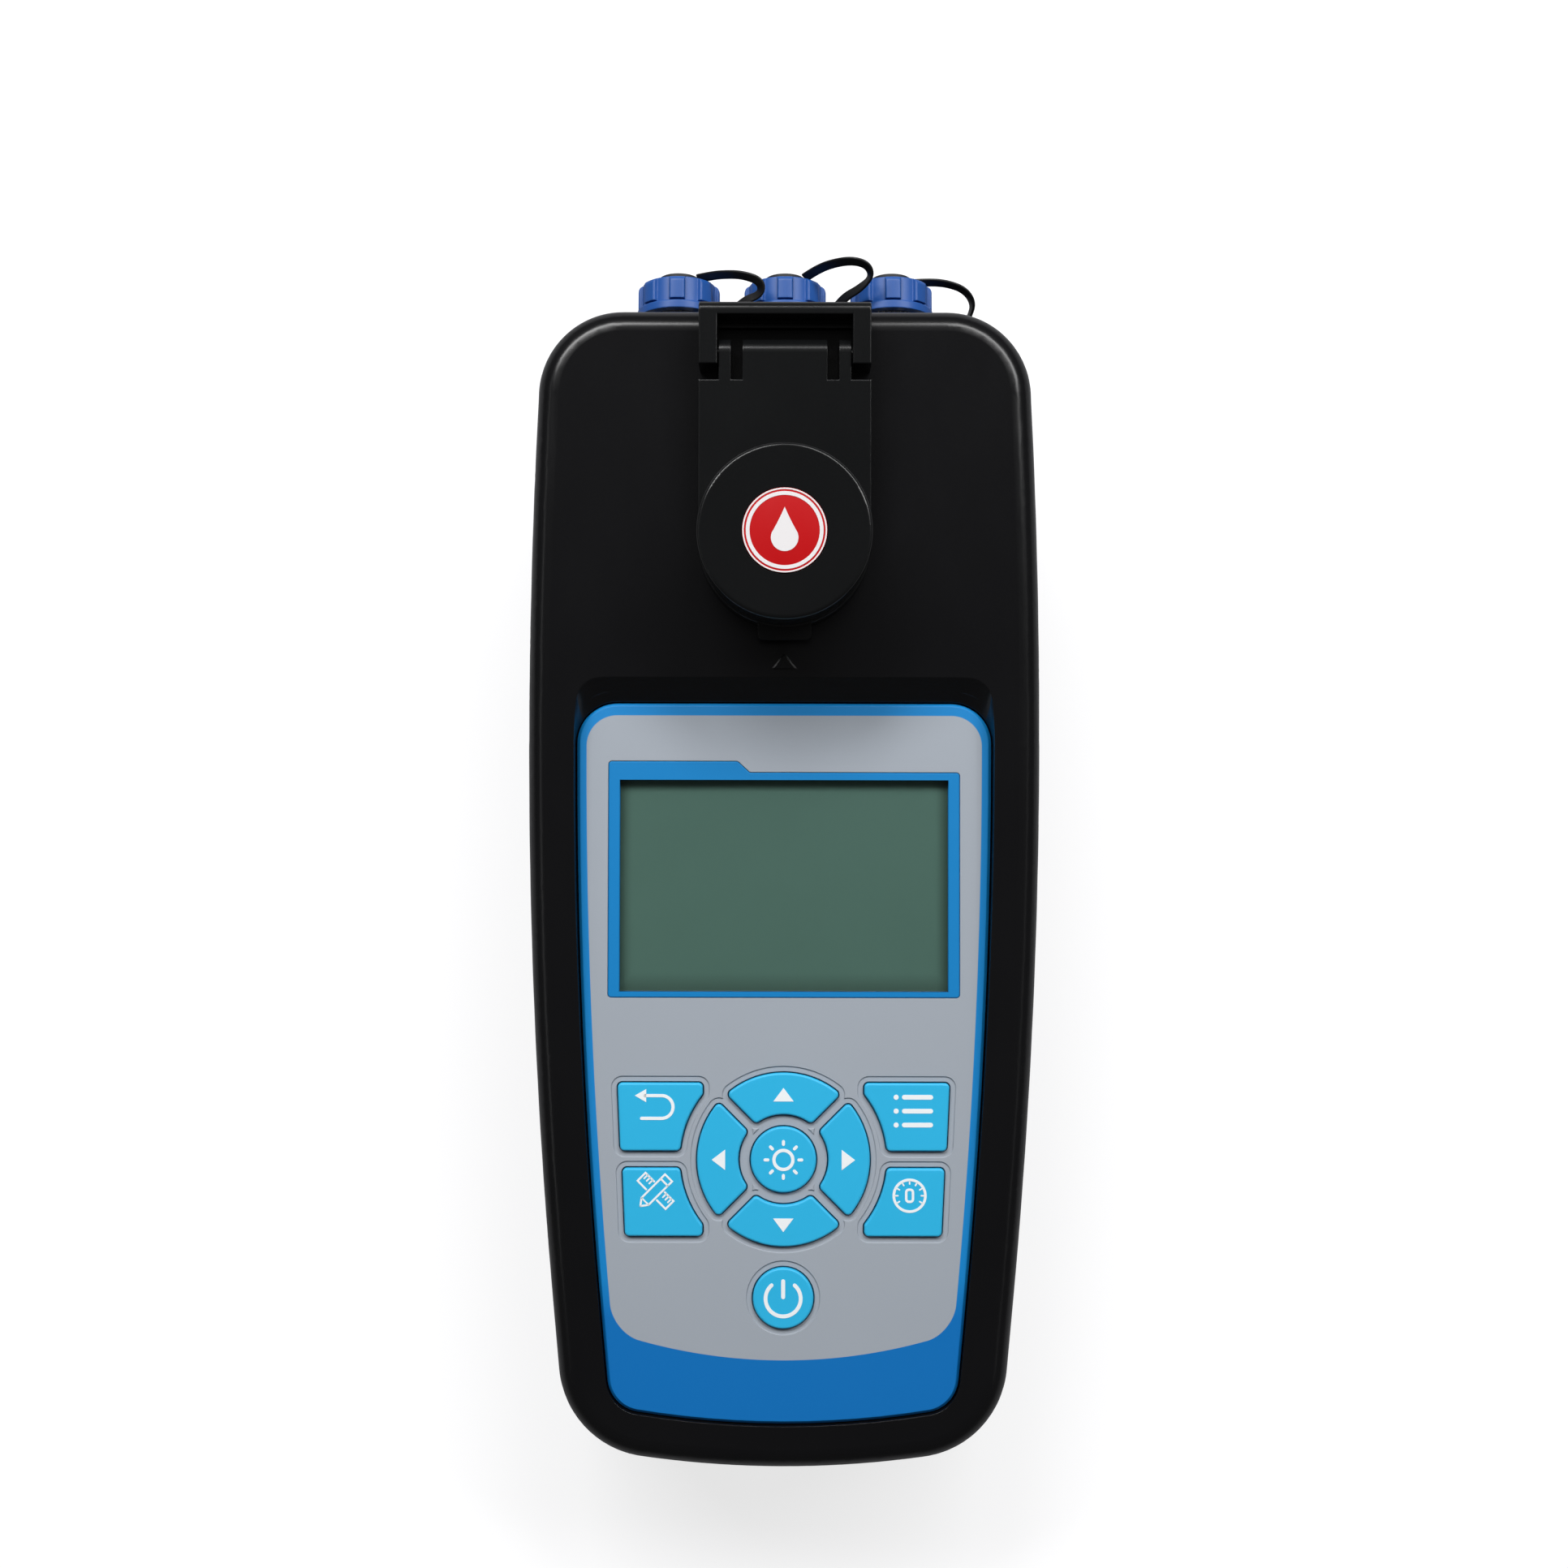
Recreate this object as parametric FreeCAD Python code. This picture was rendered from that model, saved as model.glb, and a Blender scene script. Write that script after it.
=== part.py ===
# Handheld water quality analyzer that lies on its back on four rubber feet.
# X runs across the case, Y from its front edge to its sockets, and Z up.
# The face tilts forward. Pieces on it are built flat and then tilted.
import FreeCAD, Part
import os
from dataclasses import dataclass
from math import asin, atan2, cos, degrees, pi, radians, sin, sqrt, tan

from FreeCAD import Placement, Rotation, Vector

# Case
CASE_LENGTH = 227.4
CASE_WIDTH = 101.1
CASE_WIDEST_Y = 28.0
CASE_REAR_SIDE_RADIUS = 1350.0
CASE_FRONT_SIDE_RADIUS = 1200.0
CASE_TAPER_Y = -80.0
CASE_REAR_CORNER = 16.8
CASE_FRONT_CORNER = 19.0
CASE_NOSE_RADIUS = 200.0
CASE_WALL = 2.5
CASE_EDGE = 4.5
FACE_TILT = 5.4
FACE_HEIGHT = 50.0
PARTING_HEIGHT = 18.0
STAND = 1.5
BOTTOM_EDGE = 4.0
DRAFT = 0.7
SEAM_DEPTH = 0.5
SEAM_HEIGHT = 0.7
GASKET_WIDTH = 1.2
GASKET_DEPTH = 0.9
FIT = 0.1

# Case screws and feet
SCREW_FRONT_INSET = (19.2, 14.7)
SCREW_MIDDLE_INSET = 9.2
SCREW_REAR_INSET = (12.2, 15.7)
BOSS_RADIUS = 3.9
SCREW_RADIUS = 1.45
SCREW_HEAD_RADIUS = 2.8
SCREW_HEAD_HEIGHT = 2.2
SCREW_LENGTH = 20.0
SCREW_SINK = 6.0
SCREW_CLEARANCE = 0.2
HEAD_CLEARANCE = 0.3
FOOT_SIDE_INSET = 16.2
FOOT_FRONT_INSET = 33.7
FOOT_REAR_INSET = 37.7
FOOT_RADIUS = 5.0
FOOT_SINK = 0.6

# Panel, in its own plane: the top is the end near the sample cover
PANEL_HALF_WIDTH = 41.0
PANEL_TOP_Y = 36.4
PANEL_WIDEST_Y = 28.4
PANEL_SIDE_RADIUS = 1200.0
PANEL_TAPER_Y = -85.0
PANEL_BOTTOM_Y = -105.3
PANEL_TOP_CORNER = 8.0
PANEL_BOTTOM_CORNER = 7.0
PANEL_BOTTOM_RADIUS = 180.0
PANEL_THICKNESS = 1.6
PANEL_BEVEL = 0.6
PANEL_GAP = 0.25
PANEL_DEPTH_TOP = 4.0
PANEL_DEPTH_BOTTOM = 0.6
RECESS_SLOPE = 1.12
RECESS_TOP_CORNER = 4.0
LEDGE = 2.0

# Display
FRAME_HALF_WIDTH = 34.75
FRAME_TOP_Y = 22.7
FRAME_BOTTOM_Y = -21.8
FRAME_TAB_Y = 24.9
FRAME_TAB_X = -9.2
FRAME_TAB_SLOPE = 2.4
FRAME_CORNER = 0.7
GLASS_HALF_WIDTH = 33.6
GLASS_TOP_Y = 22.2
GLASS_BOTTOM_Y = -21.3
GLASS_THICKNESS = 2.6
GLASS_SINK = 0.4
BEZEL_WALL = 0.8
VIEW_HALF_WIDTH = 32.9
VIEW_TOP_Y = 21.6
VIEW_BOTTOM_Y = -20.6

# Keys, in the plane of the panel
KEY_PROUD = 0.7
KEY_HEIGHT = 3.3
KEY_TRAVEL = 1.0
KEY_GAP = 0.25
KEY_CORNER = 0.9
KEY_EDGE = 0.4
KEY_FLANGE = 0.8
KEY_FLANGE_THICKNESS = 0.7
KEY_RELIEF = 1.3
KEY_RELIEF_DEPTH = 0.2
PAD_Y = -53.5
PAD_CENTER_RADIUS = 6.45
PAD_INNER_RADIUS = 8.85
PAD_OUTER_RADIUS = 17.0
PAD_SLIT = 2.2
SIDE_KEY_ARC = 20.4
SIDE_KEY_INNER_X = 15.9
UPPER_KEY = (32.7, 32.1, -38.5, -51.8)
LOWER_KEY = (31.7, 31.1, -55.2, -68.5)
POWER_Y = -80.6
POWER_RADIUS = 5.95

# Keypad mat and main board
MAT_THICKNESS = 0.8
MAT_MARGIN = 0.7
MAT_GAP = 0.3
DOME_RADIUS = 3.2
DOME_TOP_RADIUS = 1.8
DOME_GAP = 0.05
MAT_CLEARANCE = 1.0
BOARD_THICKNESS = 1.6
BOARD_HALF_WIDTH = 34.5
BOARD_TOP_Y = 33.0
BOARD_BOTTOM_Y = -92.0
BOARD_CORNER = 3.0
BOARD_SCREWS = [(31.5, 29.6), (31.5, -29.8), (24.0, -84.0)]
BOARD_BOSS_RADIUS = 2.4
BOARD_SCREW_RADIUS = 0.9
BOARD_SCREW_HEAD = 1.2

# Sample well, on an axis square to the face
WELL_Y = 67.3
WELL_BORE = 12.75
WELL_OUTER = 14.4
WELL_GAP = 0.5
WELL_FLOOR = 2.0
WINDOW_RADIUS = 2.2
WINDOW_DEPTH = 28.0
OPTIC_GAP = 0.3
OPTIC_SIZE = 10.0
OPTIC_LENGTH = 8.0
OPTIC_NOSE = 2.0
COLLAR_BORE = 13.1
COLLAR_SPIGOT = 13.9
COLLAR_RADIUS = 14.6
COLLAR_HEIGHT = 3.4
COLLAR_CHAMFER = 0.6

# Sample cover: plate, cup-shaped knob and hinge
COVER_HALF_WIDTH = 16.75
COVER_TOP = 7.0
COVER_PLATE = 2.2
COVER_SKIRT = 1.5
COVER_FLOAT = 0.6
COVER_EDGE = 0.4
COVER_SLOT_Y = 98.3
COVER_END_Y = 106.4
TAB_OUTER_X = 12.75
TAB_INNER_X = 10.45
TONGUE_X = 8.15
PIP_RADIUS = 1.5
PIP_LENGTH = 1.8
FINGER_HALF_WIDTH = 5.15
FINGER_REACH = 2.4
FINGER_CORNER = 1.0
KNOB_RADIUS = 16.42
KNOB_TOP = 21.0
KNOB_WALL = 1.8
KNOB_SPIGOT = 14.2
KNOB_SPIGOT_WALL = 1.0
KNOB_FLOOR = 1.0
KNOB_EDGE = 0.8
BADGE_RADIUS = 7.95
BADGE_THICKNESS = 0.6
BADGE_SINK = 0.4
SEAL_INNER = 14.0
SEAL_OUTER = 15.1
SEAL_GAP = 0.1

# Hinge bracket and pointer on the face
BRACKET_HALF_WIDTH = 16.6
BRACKET_INNER_X = 13.0
BRACKET_TOP = 8.0
BRACKET_REAR_Y = 113.2
BRACKET_BAR = 2.7
BRACKET_FRONT_Y = 101.0
BRACKET_EDGE = 0.3
BRACKET_REAR_EDGE = 1.8
BRACKET_FOOT = 4.0
BRACKET_FOOT_INSET = 1.0
BRACKET_SINK = 1.2
BRACKET_SKIN = 0.2
PIP_CLEARANCE = 0.06
PIP_END_GAP = 0.3
POINTER_WIDTH = 4.5
POINTER_BASE_Y = 43.0
POINTER_LENGTH = 2.8
POINTER_HEIGHT = 0.4

# Battery bay
CELL_RADIUS = 7.1
CELL_LENGTH = 49.2
CELL_PIP_RADIUS = 2.7
CELL_PIP_LENGTH = 1.0
CELL_PITCH = 14.8
CELL_COUNT = 4
BAY_Y = -40.0
BAY_WALL = 1.8
BAY_LEDGE = 5.0
BAY_CLEARANCE = 0.7
LID_THICKNESS = 2.4
LID_SEAL = 0.8
LID_SEAL_WIDTH = 1.0
LID_CORNER = 4.0
LID_EDGE = 0.4
GRIP_COUNT = 5
GRIP_PITCH = 3.0
GRIP_WIDTH = 1.2
GRIP_DEPTH = 0.6
GRIP_HALF_LENGTH = 12.0
LID_SCREW_INSET = 3.0
LID_SCREW_RADIUS = 1.2
LID_SCREW_HEAD = 2.1
LID_SCREW_LENGTH = 5.0
CONTACT_THICKNESS = 0.5
CONTACT_SPRING = 2.4
CONTACT_INSET = 1.0

# Sockets at the rear
SOCKET_X = 22.5
SOCKET_HEIGHT = 30.0
SOCKET_RADIUS = 6.8
SOCKET_REACH = 11.4
SOCKET_BEHIND = 14.0
SOCKET_FLANGE = 8.6
SOCKET_FLANGE_THICKNESS = 2.0
SOCKET_CHAMFER = 0.5
SOCKET_MOUTH = 5.2
SOCKET_MOUTH_DEPTH = 8.0
INSERT_THICKNESS = 4.0
PIN_RADIUS = 0.55
PIN_CIRCLE = 2.6
PIN_REACH = 5.0
PIN_COUNT = 5
NUT_ACROSS = 17.0
NUT_THICKNESS = 2.5
WASHER_OUTER = 8.3
WASHER_THICKNESS = 0.8

# Dust caps, their rivets and straps
CAP_GAP = 7.4
CAP_LENGTH = 7.0
CAP_RADIUS = 8.8
CAP_BODY_RADIUS = 7.75
CAP_FLANGE = 1.7
CAP_RIB_RADIUS = 8.65
CAP_RIB_WIDTH = 3.2
CAP_RIB_COUNT = 8
CAP_RIB_ROUND = 0.4
CAP_RIB_GAP = 0.4
CAP_FLANGE_EDGE = 0.3
CAP_EDGE = 1.2
CAP_END_WALL = 1.8
CAP_CLEARANCE = 0.1
RIVET_RADIUS = 1.4
RIVET_HEAD = 2.6
RIVET_HEAD_THICKNESS = 0.6
RIVET_CLEARANCE = 0.06
EYE_RADIUS = 4.2
EYE_THICKNESS = 1.8
LOOP_RADIUS = 8.2
LOOP_THICKNESS = 1.6
STRAP_RADIUS = 1.0

# Routes of the straps: across, out from the rear wall, and up
STRAP_1_ROUTE = [
    (-14.9, 4.3, 31.3),
    (-12.2, 6.4, 34.4),
    (-8.6, 9.0, 38.0),
    (-5.0, 10.2, 39.6),
    (-5.0, 13.0, 41.3),
    (-8.8, 14.8, 40.6),
    (-12.6, 15.4, 38.2),
    (-15.8, 15.4, 35.6),
    (-18.3, 15.5, 33.2),
]
STRAP_2_ROUTE = [
    (7.7, 4.3, 31.3),
    (9.5, 6.9, 33.6),
    (12.0, 9.9, 36.9),
    (15.6, 10.9, 40.3),
    (17.8, 12.5, 42.3),
    (17.0, 14.9, 44.2),
    (13.8, 16.0, 43.9),
    (9.6, 16.2, 41.2),
    (6.4, 15.8, 37.4),
    (4.2, 15.6, 33.7),
]
STRAP_3_ROUTE = [
    (28.3, 4.2, 24.2),
    (30.9, 4.4, 21.7),
    (34.4, 5.3, 21.3),
    (37.6, 7.2, 23.3),
    (39.5, 9.4, 26.6),
    (40.0, 11.5, 30.0),
    (38.0, 14.1, 32.0),
    (34.3, 15.5, 32.2),
    (30.4, 16.0, 31.4),
    (27.0, 15.5, 30.6),
]

# Places worked out from the sizes above
CASE_HALF = CASE_WIDTH / 2
REAR = CASE_LENGTH / 2
FRONT = -CASE_LENGTH / 2
SCREW_PLACES = [
    (CASE_HALF - SCREW_FRONT_INSET[0], FRONT + SCREW_FRONT_INSET[1]),
    (CASE_HALF - SCREW_MIDDLE_INSET, 0.0),
    (CASE_HALF - SCREW_REAR_INSET[0], REAR - SCREW_REAR_INSET[1]),
]
FOOT_PLACES = [
    (CASE_HALF - FOOT_SIDE_INSET, FRONT + FOOT_FRONT_INSET),
    (CASE_HALF - FOOT_SIDE_INSET, REAR - FOOT_REAR_INSET),
]
FLOOR = STAND + CASE_WALL
WELL_DROP = FACE_HEIGHT + (WELL_Y - WELL_OUTER) * sin(radians(FACE_TILT)) - FLOOR - WELL_GAP
WELL_LENGTH = WELL_DROP / cos(radians(FACE_TILT)) - CASE_WALL - WELL_FLOOR
EYE_START = CAP_GAP + CAP_LENGTH + FIT
REAR_REACH = EYE_START + EYE_THICKNESS + FIT + RIVET_HEAD_THICKNESS
CASE_Y = -REAR_REACH / 2
PANEL_LENGTH = PANEL_TOP_Y - PANEL_BOTTOM_Y
PANEL_LEAN = degrees(atan2(PANEL_DEPTH_TOP - PANEL_DEPTH_BOTTOM, PANEL_LENGTH))
HINGE_RADIUS = (COVER_TOP - COVER_FLOAT) / 2.2
HINGE_Y = COVER_END_Y - HINGE_RADIUS
HINGE_HEIGHT = COVER_TOP - HINGE_RADIUS
PANEL_SEAT = -PANEL_THICKNESS
KEY_BOTTOM = KEY_PROUD - KEY_HEIGHT
MAT_TOP = KEY_BOTTOM - KEY_TRAVEL - MAT_CLEARANCE
MAT_HALF_WIDTH = max(UPPER_KEY[0], LOWER_KEY[0]) + KEY_FLANGE + MAT_MARGIN
MAT_TOP_Y = PAD_Y + PAD_OUTER_RADIUS + KEY_FLANGE + MAT_MARGIN
MAT_BOTTOM_Y = PAD_Y - PAD_OUTER_RADIUS - KEY_FLANGE - MAT_MARGIN
BOARD_DEPTH = MAT_THICKNESS - MAT_TOP
BAY_WIDTH = CELL_PITCH * CELL_COUNT + 2 * BAY_CLEARANCE
BAY_LENGTH = CELL_LENGTH + CELL_PIP_LENGTH + 2 * (CONTACT_THICKNESS + CONTACT_SPRING)
LID_SEAT = STAND + LID_THICKNESS + LID_SEAL
BAY_TOP = LID_SEAT + 2 * CELL_RADIUS + BAY_CLEARANCE
LID_HALF_WIDTH = BAY_WIDTH / 2 + BAY_LEDGE
LID_HALF_LENGTH = BAY_LENGTH / 2 + BAY_LEDGE
TALL = 90.0
TOUCH = 1e-4
GASKET_INSET = SEAM_DEPTH + (CASE_WALL - GASKET_WIDTH) / 2
UP = Vector(0, 0, 1)


def face_place():
    """Placement of the tilted face, with its origin over the middle of the case."""
    return Placement(Vector(0, 0, FACE_HEIGHT), Rotation(Vector(1, 0, 0), FACE_TILT))


def panel_place():
    """Placement of the panel's surface, which leans back from the face about its bottom edge."""
    lean = Placement(Vector(0, PANEL_BOTTOM_Y, -PANEL_DEPTH_BOTTOM), Rotation(Vector(1, 0, 0), -PANEL_LEAN))
    shift = Placement(Vector(0, -PANEL_BOTTOM_Y, 0), Rotation())
    return face_place().multiply(lean).multiply(shift)


def socket_place(x):
    """Placement of a socket on the rear wall, with Z pointing out of the wall."""
    return Placement(Vector(x, REAR, SOCKET_HEIGHT), Rotation(Vector(1, 0, 0), -90))


def placed(shape, placement):
    """Copy of a shape, moved by a placement."""
    copy = shape.copy()
    copy.Placement = placement.multiply(copy.Placement)
    return copy


def disc(radius, low, high, x=0.0, y=0.0):
    """Cylinder along Z between two heights."""
    return Part.makeCylinder(radius, high - low, Vector(x, y, low))


def ring(outer, inner, low, high, x=0.0, y=0.0):
    """Tube along Z between two heights."""
    return disc(outer, low, high, x, y).cut(disc(inner, low, high, x, y))


def block(x0, x1, y0, y1, z0, z1):
    """Box between two corners."""
    return Part.makeBox(x1 - x0, y1 - y0, z1 - z0, Vector(x0, y0, z0))


def polygon(points):
    """Flat face through points."""
    corners = [Vector(x, y, 0) for x, y in points]
    return Part.Face(Part.makePolygon(corners + corners[:1]))


def rectangle(half_width, bottom, top):
    """Flat face of a rectangle about the middle plane."""
    return polygon([(-half_width, bottom), (half_width, bottom), (half_width, top), (-half_width, top)])


def rounded(face, radius):
    """The face with its outward corners rounded."""
    return face.makeOffset2D(-radius).makeOffset2D(radius)


def prism(face, low, high):
    """Solid over a flat face between two heights."""
    moved = placed(face, Placement(Vector(0, 0, low), Rotation()))
    return moved.extrude(Vector(0, 0, high - low))


def turned(profile):
    """Solid of revolution about Z from a closed profile of (radius, height) points."""
    points = [Vector(radius, 0, height) for radius, height in profile]
    wire = Part.makePolygon(points + points[:1])
    return Part.Face(wire).revolve(Vector(0, 0, 0), UP, 360)


def edges_at(solid, height):
    """Edges of a solid that lie wholly at one height."""
    spans = [(e, e.BoundBox) for e in solid.Edges]
    return [e for e, box in spans if abs(box.ZMin - height) < TOUCH and abs(box.ZMax - height) < TOUCH]


@dataclass
class Shield:
    """Outline that is widest near its middle, with round corners and a bowed front edge."""

    half: float
    wide_y: float
    rear_y: float
    rear_corner: float
    rear_radius: float
    front_radius: float
    taper_y: float
    front_y: float
    front_corner: float
    nose_radius: float

    def arcs(self, inset):
        """Right half of the outline as arcs, from the front edge round to the rear corner."""
        rear_x = self.half - self.rear_radius
        corner_y = self.rear_y - self.rear_corner
        rise = corner_y - self.wide_y
        corner_x = rear_x + sqrt((self.rear_radius - self.rear_corner) ** 2 - rise**2)
        rear_turn = degrees(atan2(rise, corner_x - rear_x))
        front_x = self.half - self.front_radius
        taper = asin((self.wide_y - self.taper_y) / self.front_radius)
        reach = self.front_radius - self.front_corner
        start_y = self.wide_y - reach * sin(taper) - self.front_y - self.nose_radius
        start = (front_x + reach * cos(taper), start_y)
        along = (-sin(taper), -cos(taper))
        dot = start[0] * along[0] + start[1] * along[1]
        gap = (self.nose_radius - self.front_corner) ** 2 - start[0] ** 2 - start[1] ** 2
        step = -dot + sqrt(dot**2 + gap)
        nose = (start[0] + step * along[0], start[1] + step * along[1])
        nose_turn = degrees(atan2(nose[1], nose[0]))
        nose_y = self.front_y + self.nose_radius
        return [
            ((0.0, nose_y), self.nose_radius - inset, -90.0, nose_turn),
            ((nose[0], nose[1] + nose_y), self.front_corner - inset, nose_turn, -degrees(taper)),
            ((front_x, self.wide_y), self.front_radius - inset, -degrees(taper), 0.0),
            ((rear_x, self.wide_y), self.rear_radius - inset, 0.0, rear_turn),
            ((corner_x, corner_y), self.rear_corner - inset, rear_turn, 90.0),
        ]

    def wire(self, inset=0.0, height=0.0):
        """Closed outline, moved inwards by an inset, at a height."""
        right = self.arcs(inset)
        left = [((-c[0], c[1]), r, 180 - end, 180 - start) for c, r, start, end in reversed(right)]
        edges = []
        last = None
        for centre, radius, start, end in right + left:
            if abs(end - start) < 1e-6:
                continue
            spots = [
                Vector(centre[0] + radius * cos(radians(a)), centre[1] + radius * sin(radians(a)), height)
                for a in (start, (start + end) / 2, end)
            ]
            if last and last.distanceToPoint(spots[0]) > 1e-4:
                edges.append(Part.LineSegment(last, spots[0]).toShape())
            edges.append(Part.Arc(*spots).toShape())
            last = spots[2]
        return Part.Wire(edges)

    def solid(self, inset, low, high):
        """Upright solid over the outline."""
        return Part.Face(self.wire(inset, low)).extrude(Vector(0, 0, high - low))


CASE = Shield(
    CASE_HALF,
    CASE_WIDEST_Y,
    REAR,
    CASE_REAR_CORNER,
    CASE_REAR_SIDE_RADIUS,
    CASE_FRONT_SIDE_RADIUS,
    CASE_TAPER_Y,
    FRONT,
    CASE_FRONT_CORNER,
    CASE_NOSE_RADIUS,
)
PANEL = Shield(
    PANEL_HALF_WIDTH,
    PANEL_WIDEST_Y,
    PANEL_TOP_Y,
    PANEL_TOP_CORNER,
    PANEL_SIDE_RADIUS,
    PANEL_SIDE_RADIUS,
    PANEL_TAPER_Y,
    PANEL_BOTTOM_Y,
    PANEL_BOTTOM_CORNER,
    PANEL_BOTTOM_RADIUS,
)


def both_sides(places):
    """Places on the right and their mirror images."""
    return [(side * x, y) for x, y in places for side in (1, -1)]


def recess_tool():
    """Space that the panel lies in, with a sloped wall above the panel's top edge."""
    deep = PANEL.solid(-PANEL_GAP, PANEL_SEAT, 0)
    rise = PANEL_DEPTH_TOP * 1.5
    mouth = Shield(**vars(PANEL))
    mouth.rear_y = PANEL_TOP_Y + RECESS_SLOPE * rise
    mouth.rear_corner = RECESS_TOP_CORNER
    slope = Part.makeLoft([PANEL.wire(-PANEL_GAP, 0), mouth.wire(-PANEL_GAP, rise)], True, True)
    return deep.fuse(slope)


def frame_face():
    """Outline of the display window, with its raised tab at the left."""
    corner_x = FRAME_TAB_X + FRAME_TAB_SLOPE
    outline = polygon([
        (-FRAME_HALF_WIDTH, FRAME_BOTTOM_Y),
        (FRAME_HALF_WIDTH, FRAME_BOTTOM_Y),
        (FRAME_HALF_WIDTH, FRAME_TOP_Y),
        (corner_x, FRAME_TOP_Y),
        (FRAME_TAB_X, FRAME_TAB_Y),
        (-FRAME_HALF_WIDTH, FRAME_TAB_Y),
    ])
    return rounded(outline, FRAME_CORNER)


def corner_key_face(key, side):
    """Key beside the round pad, with one side hollowed about the pad's centre."""
    top_x, bottom_x, top, bottom = key
    outline = polygon([
        (side * top_x, top),
        (side * SIDE_KEY_INNER_X, top),
        (side * SIDE_KEY_INNER_X, bottom),
        (side * bottom_x, bottom),
    ])
    hollow = Part.Face(Part.Wire(Part.makeCircle(SIDE_KEY_ARC, Vector(0, PAD_Y, 0))))
    return rounded(outline.cut(hollow).Faces[0], KEY_CORNER)


def pad_key_face(turn):
    """Quarter of the round pad, turned about its centre."""
    annulus = Part.Face(Part.Wire(Part.makeCircle(PAD_OUTER_RADIUS)))
    annulus = annulus.cut(Part.Face(Part.Wire(Part.makeCircle(PAD_INNER_RADIUS))))
    start = PAD_SLIT / sqrt(2)
    reach = 2 * PAD_OUTER_RADIUS
    wedge = polygon([(0, start), (reach, start + reach), (-reach, start + reach)])
    face = rounded(annulus.common(wedge).Faces[0], KEY_CORNER)
    return placed(face, Placement(Vector(0, PAD_Y, 0), Rotation(UP, turn)))


def round_key_face(radius, y):
    """Round key on the middle line."""
    return Part.Face(Part.Wire(Part.makeCircle(radius, Vector(0, y, 0))))


def key_faces():
    """Outline of each key, and the spot that its dome presses from."""
    ring_spot = (PAD_INNER_RADIUS + PAD_OUTER_RADIUS) / 2
    upper_y = (UPPER_KEY[2] + UPPER_KEY[3]) / 2
    lower_y = (LOWER_KEY[2] + LOWER_KEY[3]) / 2
    side_x = (UPPER_KEY[0] + SIDE_KEY_ARC) / 2
    return {
        "key_up": (pad_key_face(0), (0, PAD_Y + ring_spot)),
        "key_left": (pad_key_face(90), (-ring_spot, PAD_Y)),
        "key_down": (pad_key_face(180), (0, PAD_Y - ring_spot)),
        "key_right": (pad_key_face(270), (ring_spot, PAD_Y)),
        "key_center": (round_key_face(PAD_CENTER_RADIUS, PAD_Y), (0, PAD_Y)),
        "key_back": (corner_key_face(UPPER_KEY, -1), (-side_x, upper_y)),
        "key_menu": (corner_key_face(UPPER_KEY, 1), (side_x, upper_y)),
        "key_read": (corner_key_face(LOWER_KEY, -1), (-side_x, lower_y)),
        "key_zero": (corner_key_face(LOWER_KEY, 1), (side_x, lower_y)),
        "key_power": (round_key_face(POWER_RADIUS, POWER_Y), (0, POWER_Y)),
    }


def key(face):
    """Hard key cap with a flange that holds it under the panel."""
    cap = prism(face, KEY_BOTTOM, KEY_PROUD)
    cap = cap.makeFillet(KEY_EDGE, edges_at(cap, KEY_PROUD))
    flange = prism(face.makeOffset2D(KEY_FLANGE), KEY_BOTTOM, KEY_BOTTOM + KEY_FLANGE_THICKNESS)
    return cap.fuse(flange).removeSplitter()


def front_panel(faces):
    """Printed bezel with openings for the display window and the keys."""
    panel = PANEL.solid(0, PANEL_SEAT, 0)
    panel = panel.makeChamfer(PANEL_BEVEL, edges_at(panel, 0))
    panel = panel.cut(prism(frame_face().makeOffset2D(FIT / 2), PANEL_SEAT, TALL))
    for face, spot in faces.values():
        panel = panel.cut(prism(face.makeOffset2D(KEY_RELIEF), -KEY_RELIEF_DEPTH, TALL))
    for face, spot in faces.values():
        panel = panel.cut(prism(face.makeOffset2D(KEY_GAP), PANEL_SEAT, TALL))
    return panel


def mat_face():
    """Outline of the keypad mat: a broad part and a tongue under the power key."""
    broad = rectangle(MAT_HALF_WIDTH, MAT_BOTTOM_Y, MAT_TOP_Y)
    tongue_half = POWER_RADIUS + KEY_FLANGE + MAT_MARGIN
    tongue = rectangle(tongue_half, POWER_Y - tongue_half, MAT_BOTTOM_Y + 1)
    return broad.fuse(tongue).removeSplitter().Faces[0]


def keypad_mat(faces):
    """Rubber sheet with a dome under every key."""
    mat = prism(mat_face(), -BOARD_DEPTH, MAT_TOP)
    height = KEY_BOTTOM - DOME_GAP - MAT_TOP
    for face, spot in faces.values():
        dome = Part.makeCone(DOME_RADIUS, DOME_TOP_RADIUS, height, Vector(spot[0], spot[1], MAT_TOP))
        mat = mat.fuse(dome)
    return mat


def glass_bezel():
    """Bent metal frame that holds the display on the board."""
    inner = rectangle(GLASS_HALF_WIDTH + FIT, GLASS_BOTTOM_Y - FIT, GLASS_TOP_Y + FIT)
    outer = inner.makeOffset2D(BEZEL_WALL)
    view = rectangle(VIEW_HALF_WIDTH, VIEW_BOTTOM_Y, VIEW_TOP_Y)
    bezel = prism(rounded(outer, BEZEL_WALL), -BOARD_DEPTH, PANEL_SEAT)
    bezel = bezel.cut(prism(inner, -BOARD_DEPTH, PANEL_SEAT - GLASS_SINK))
    return bezel.cut(prism(view, -BOARD_DEPTH, PANEL_SEAT))


def display_glass():
    """Liquid crystal display under its metal frame."""
    face = rectangle(GLASS_HALF_WIDTH, GLASS_BOTTOM_Y, GLASS_TOP_Y)
    top = PANEL_SEAT - GLASS_SINK
    return prism(face, top - GLASS_THICKNESS, top)


def display_window():
    """Clear window, flush with the panel."""
    window = prism(frame_face(), PANEL_SEAT, 0)
    return window.makeChamfer(PANEL_BEVEL / 3, edges_at(window, 0))


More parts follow.
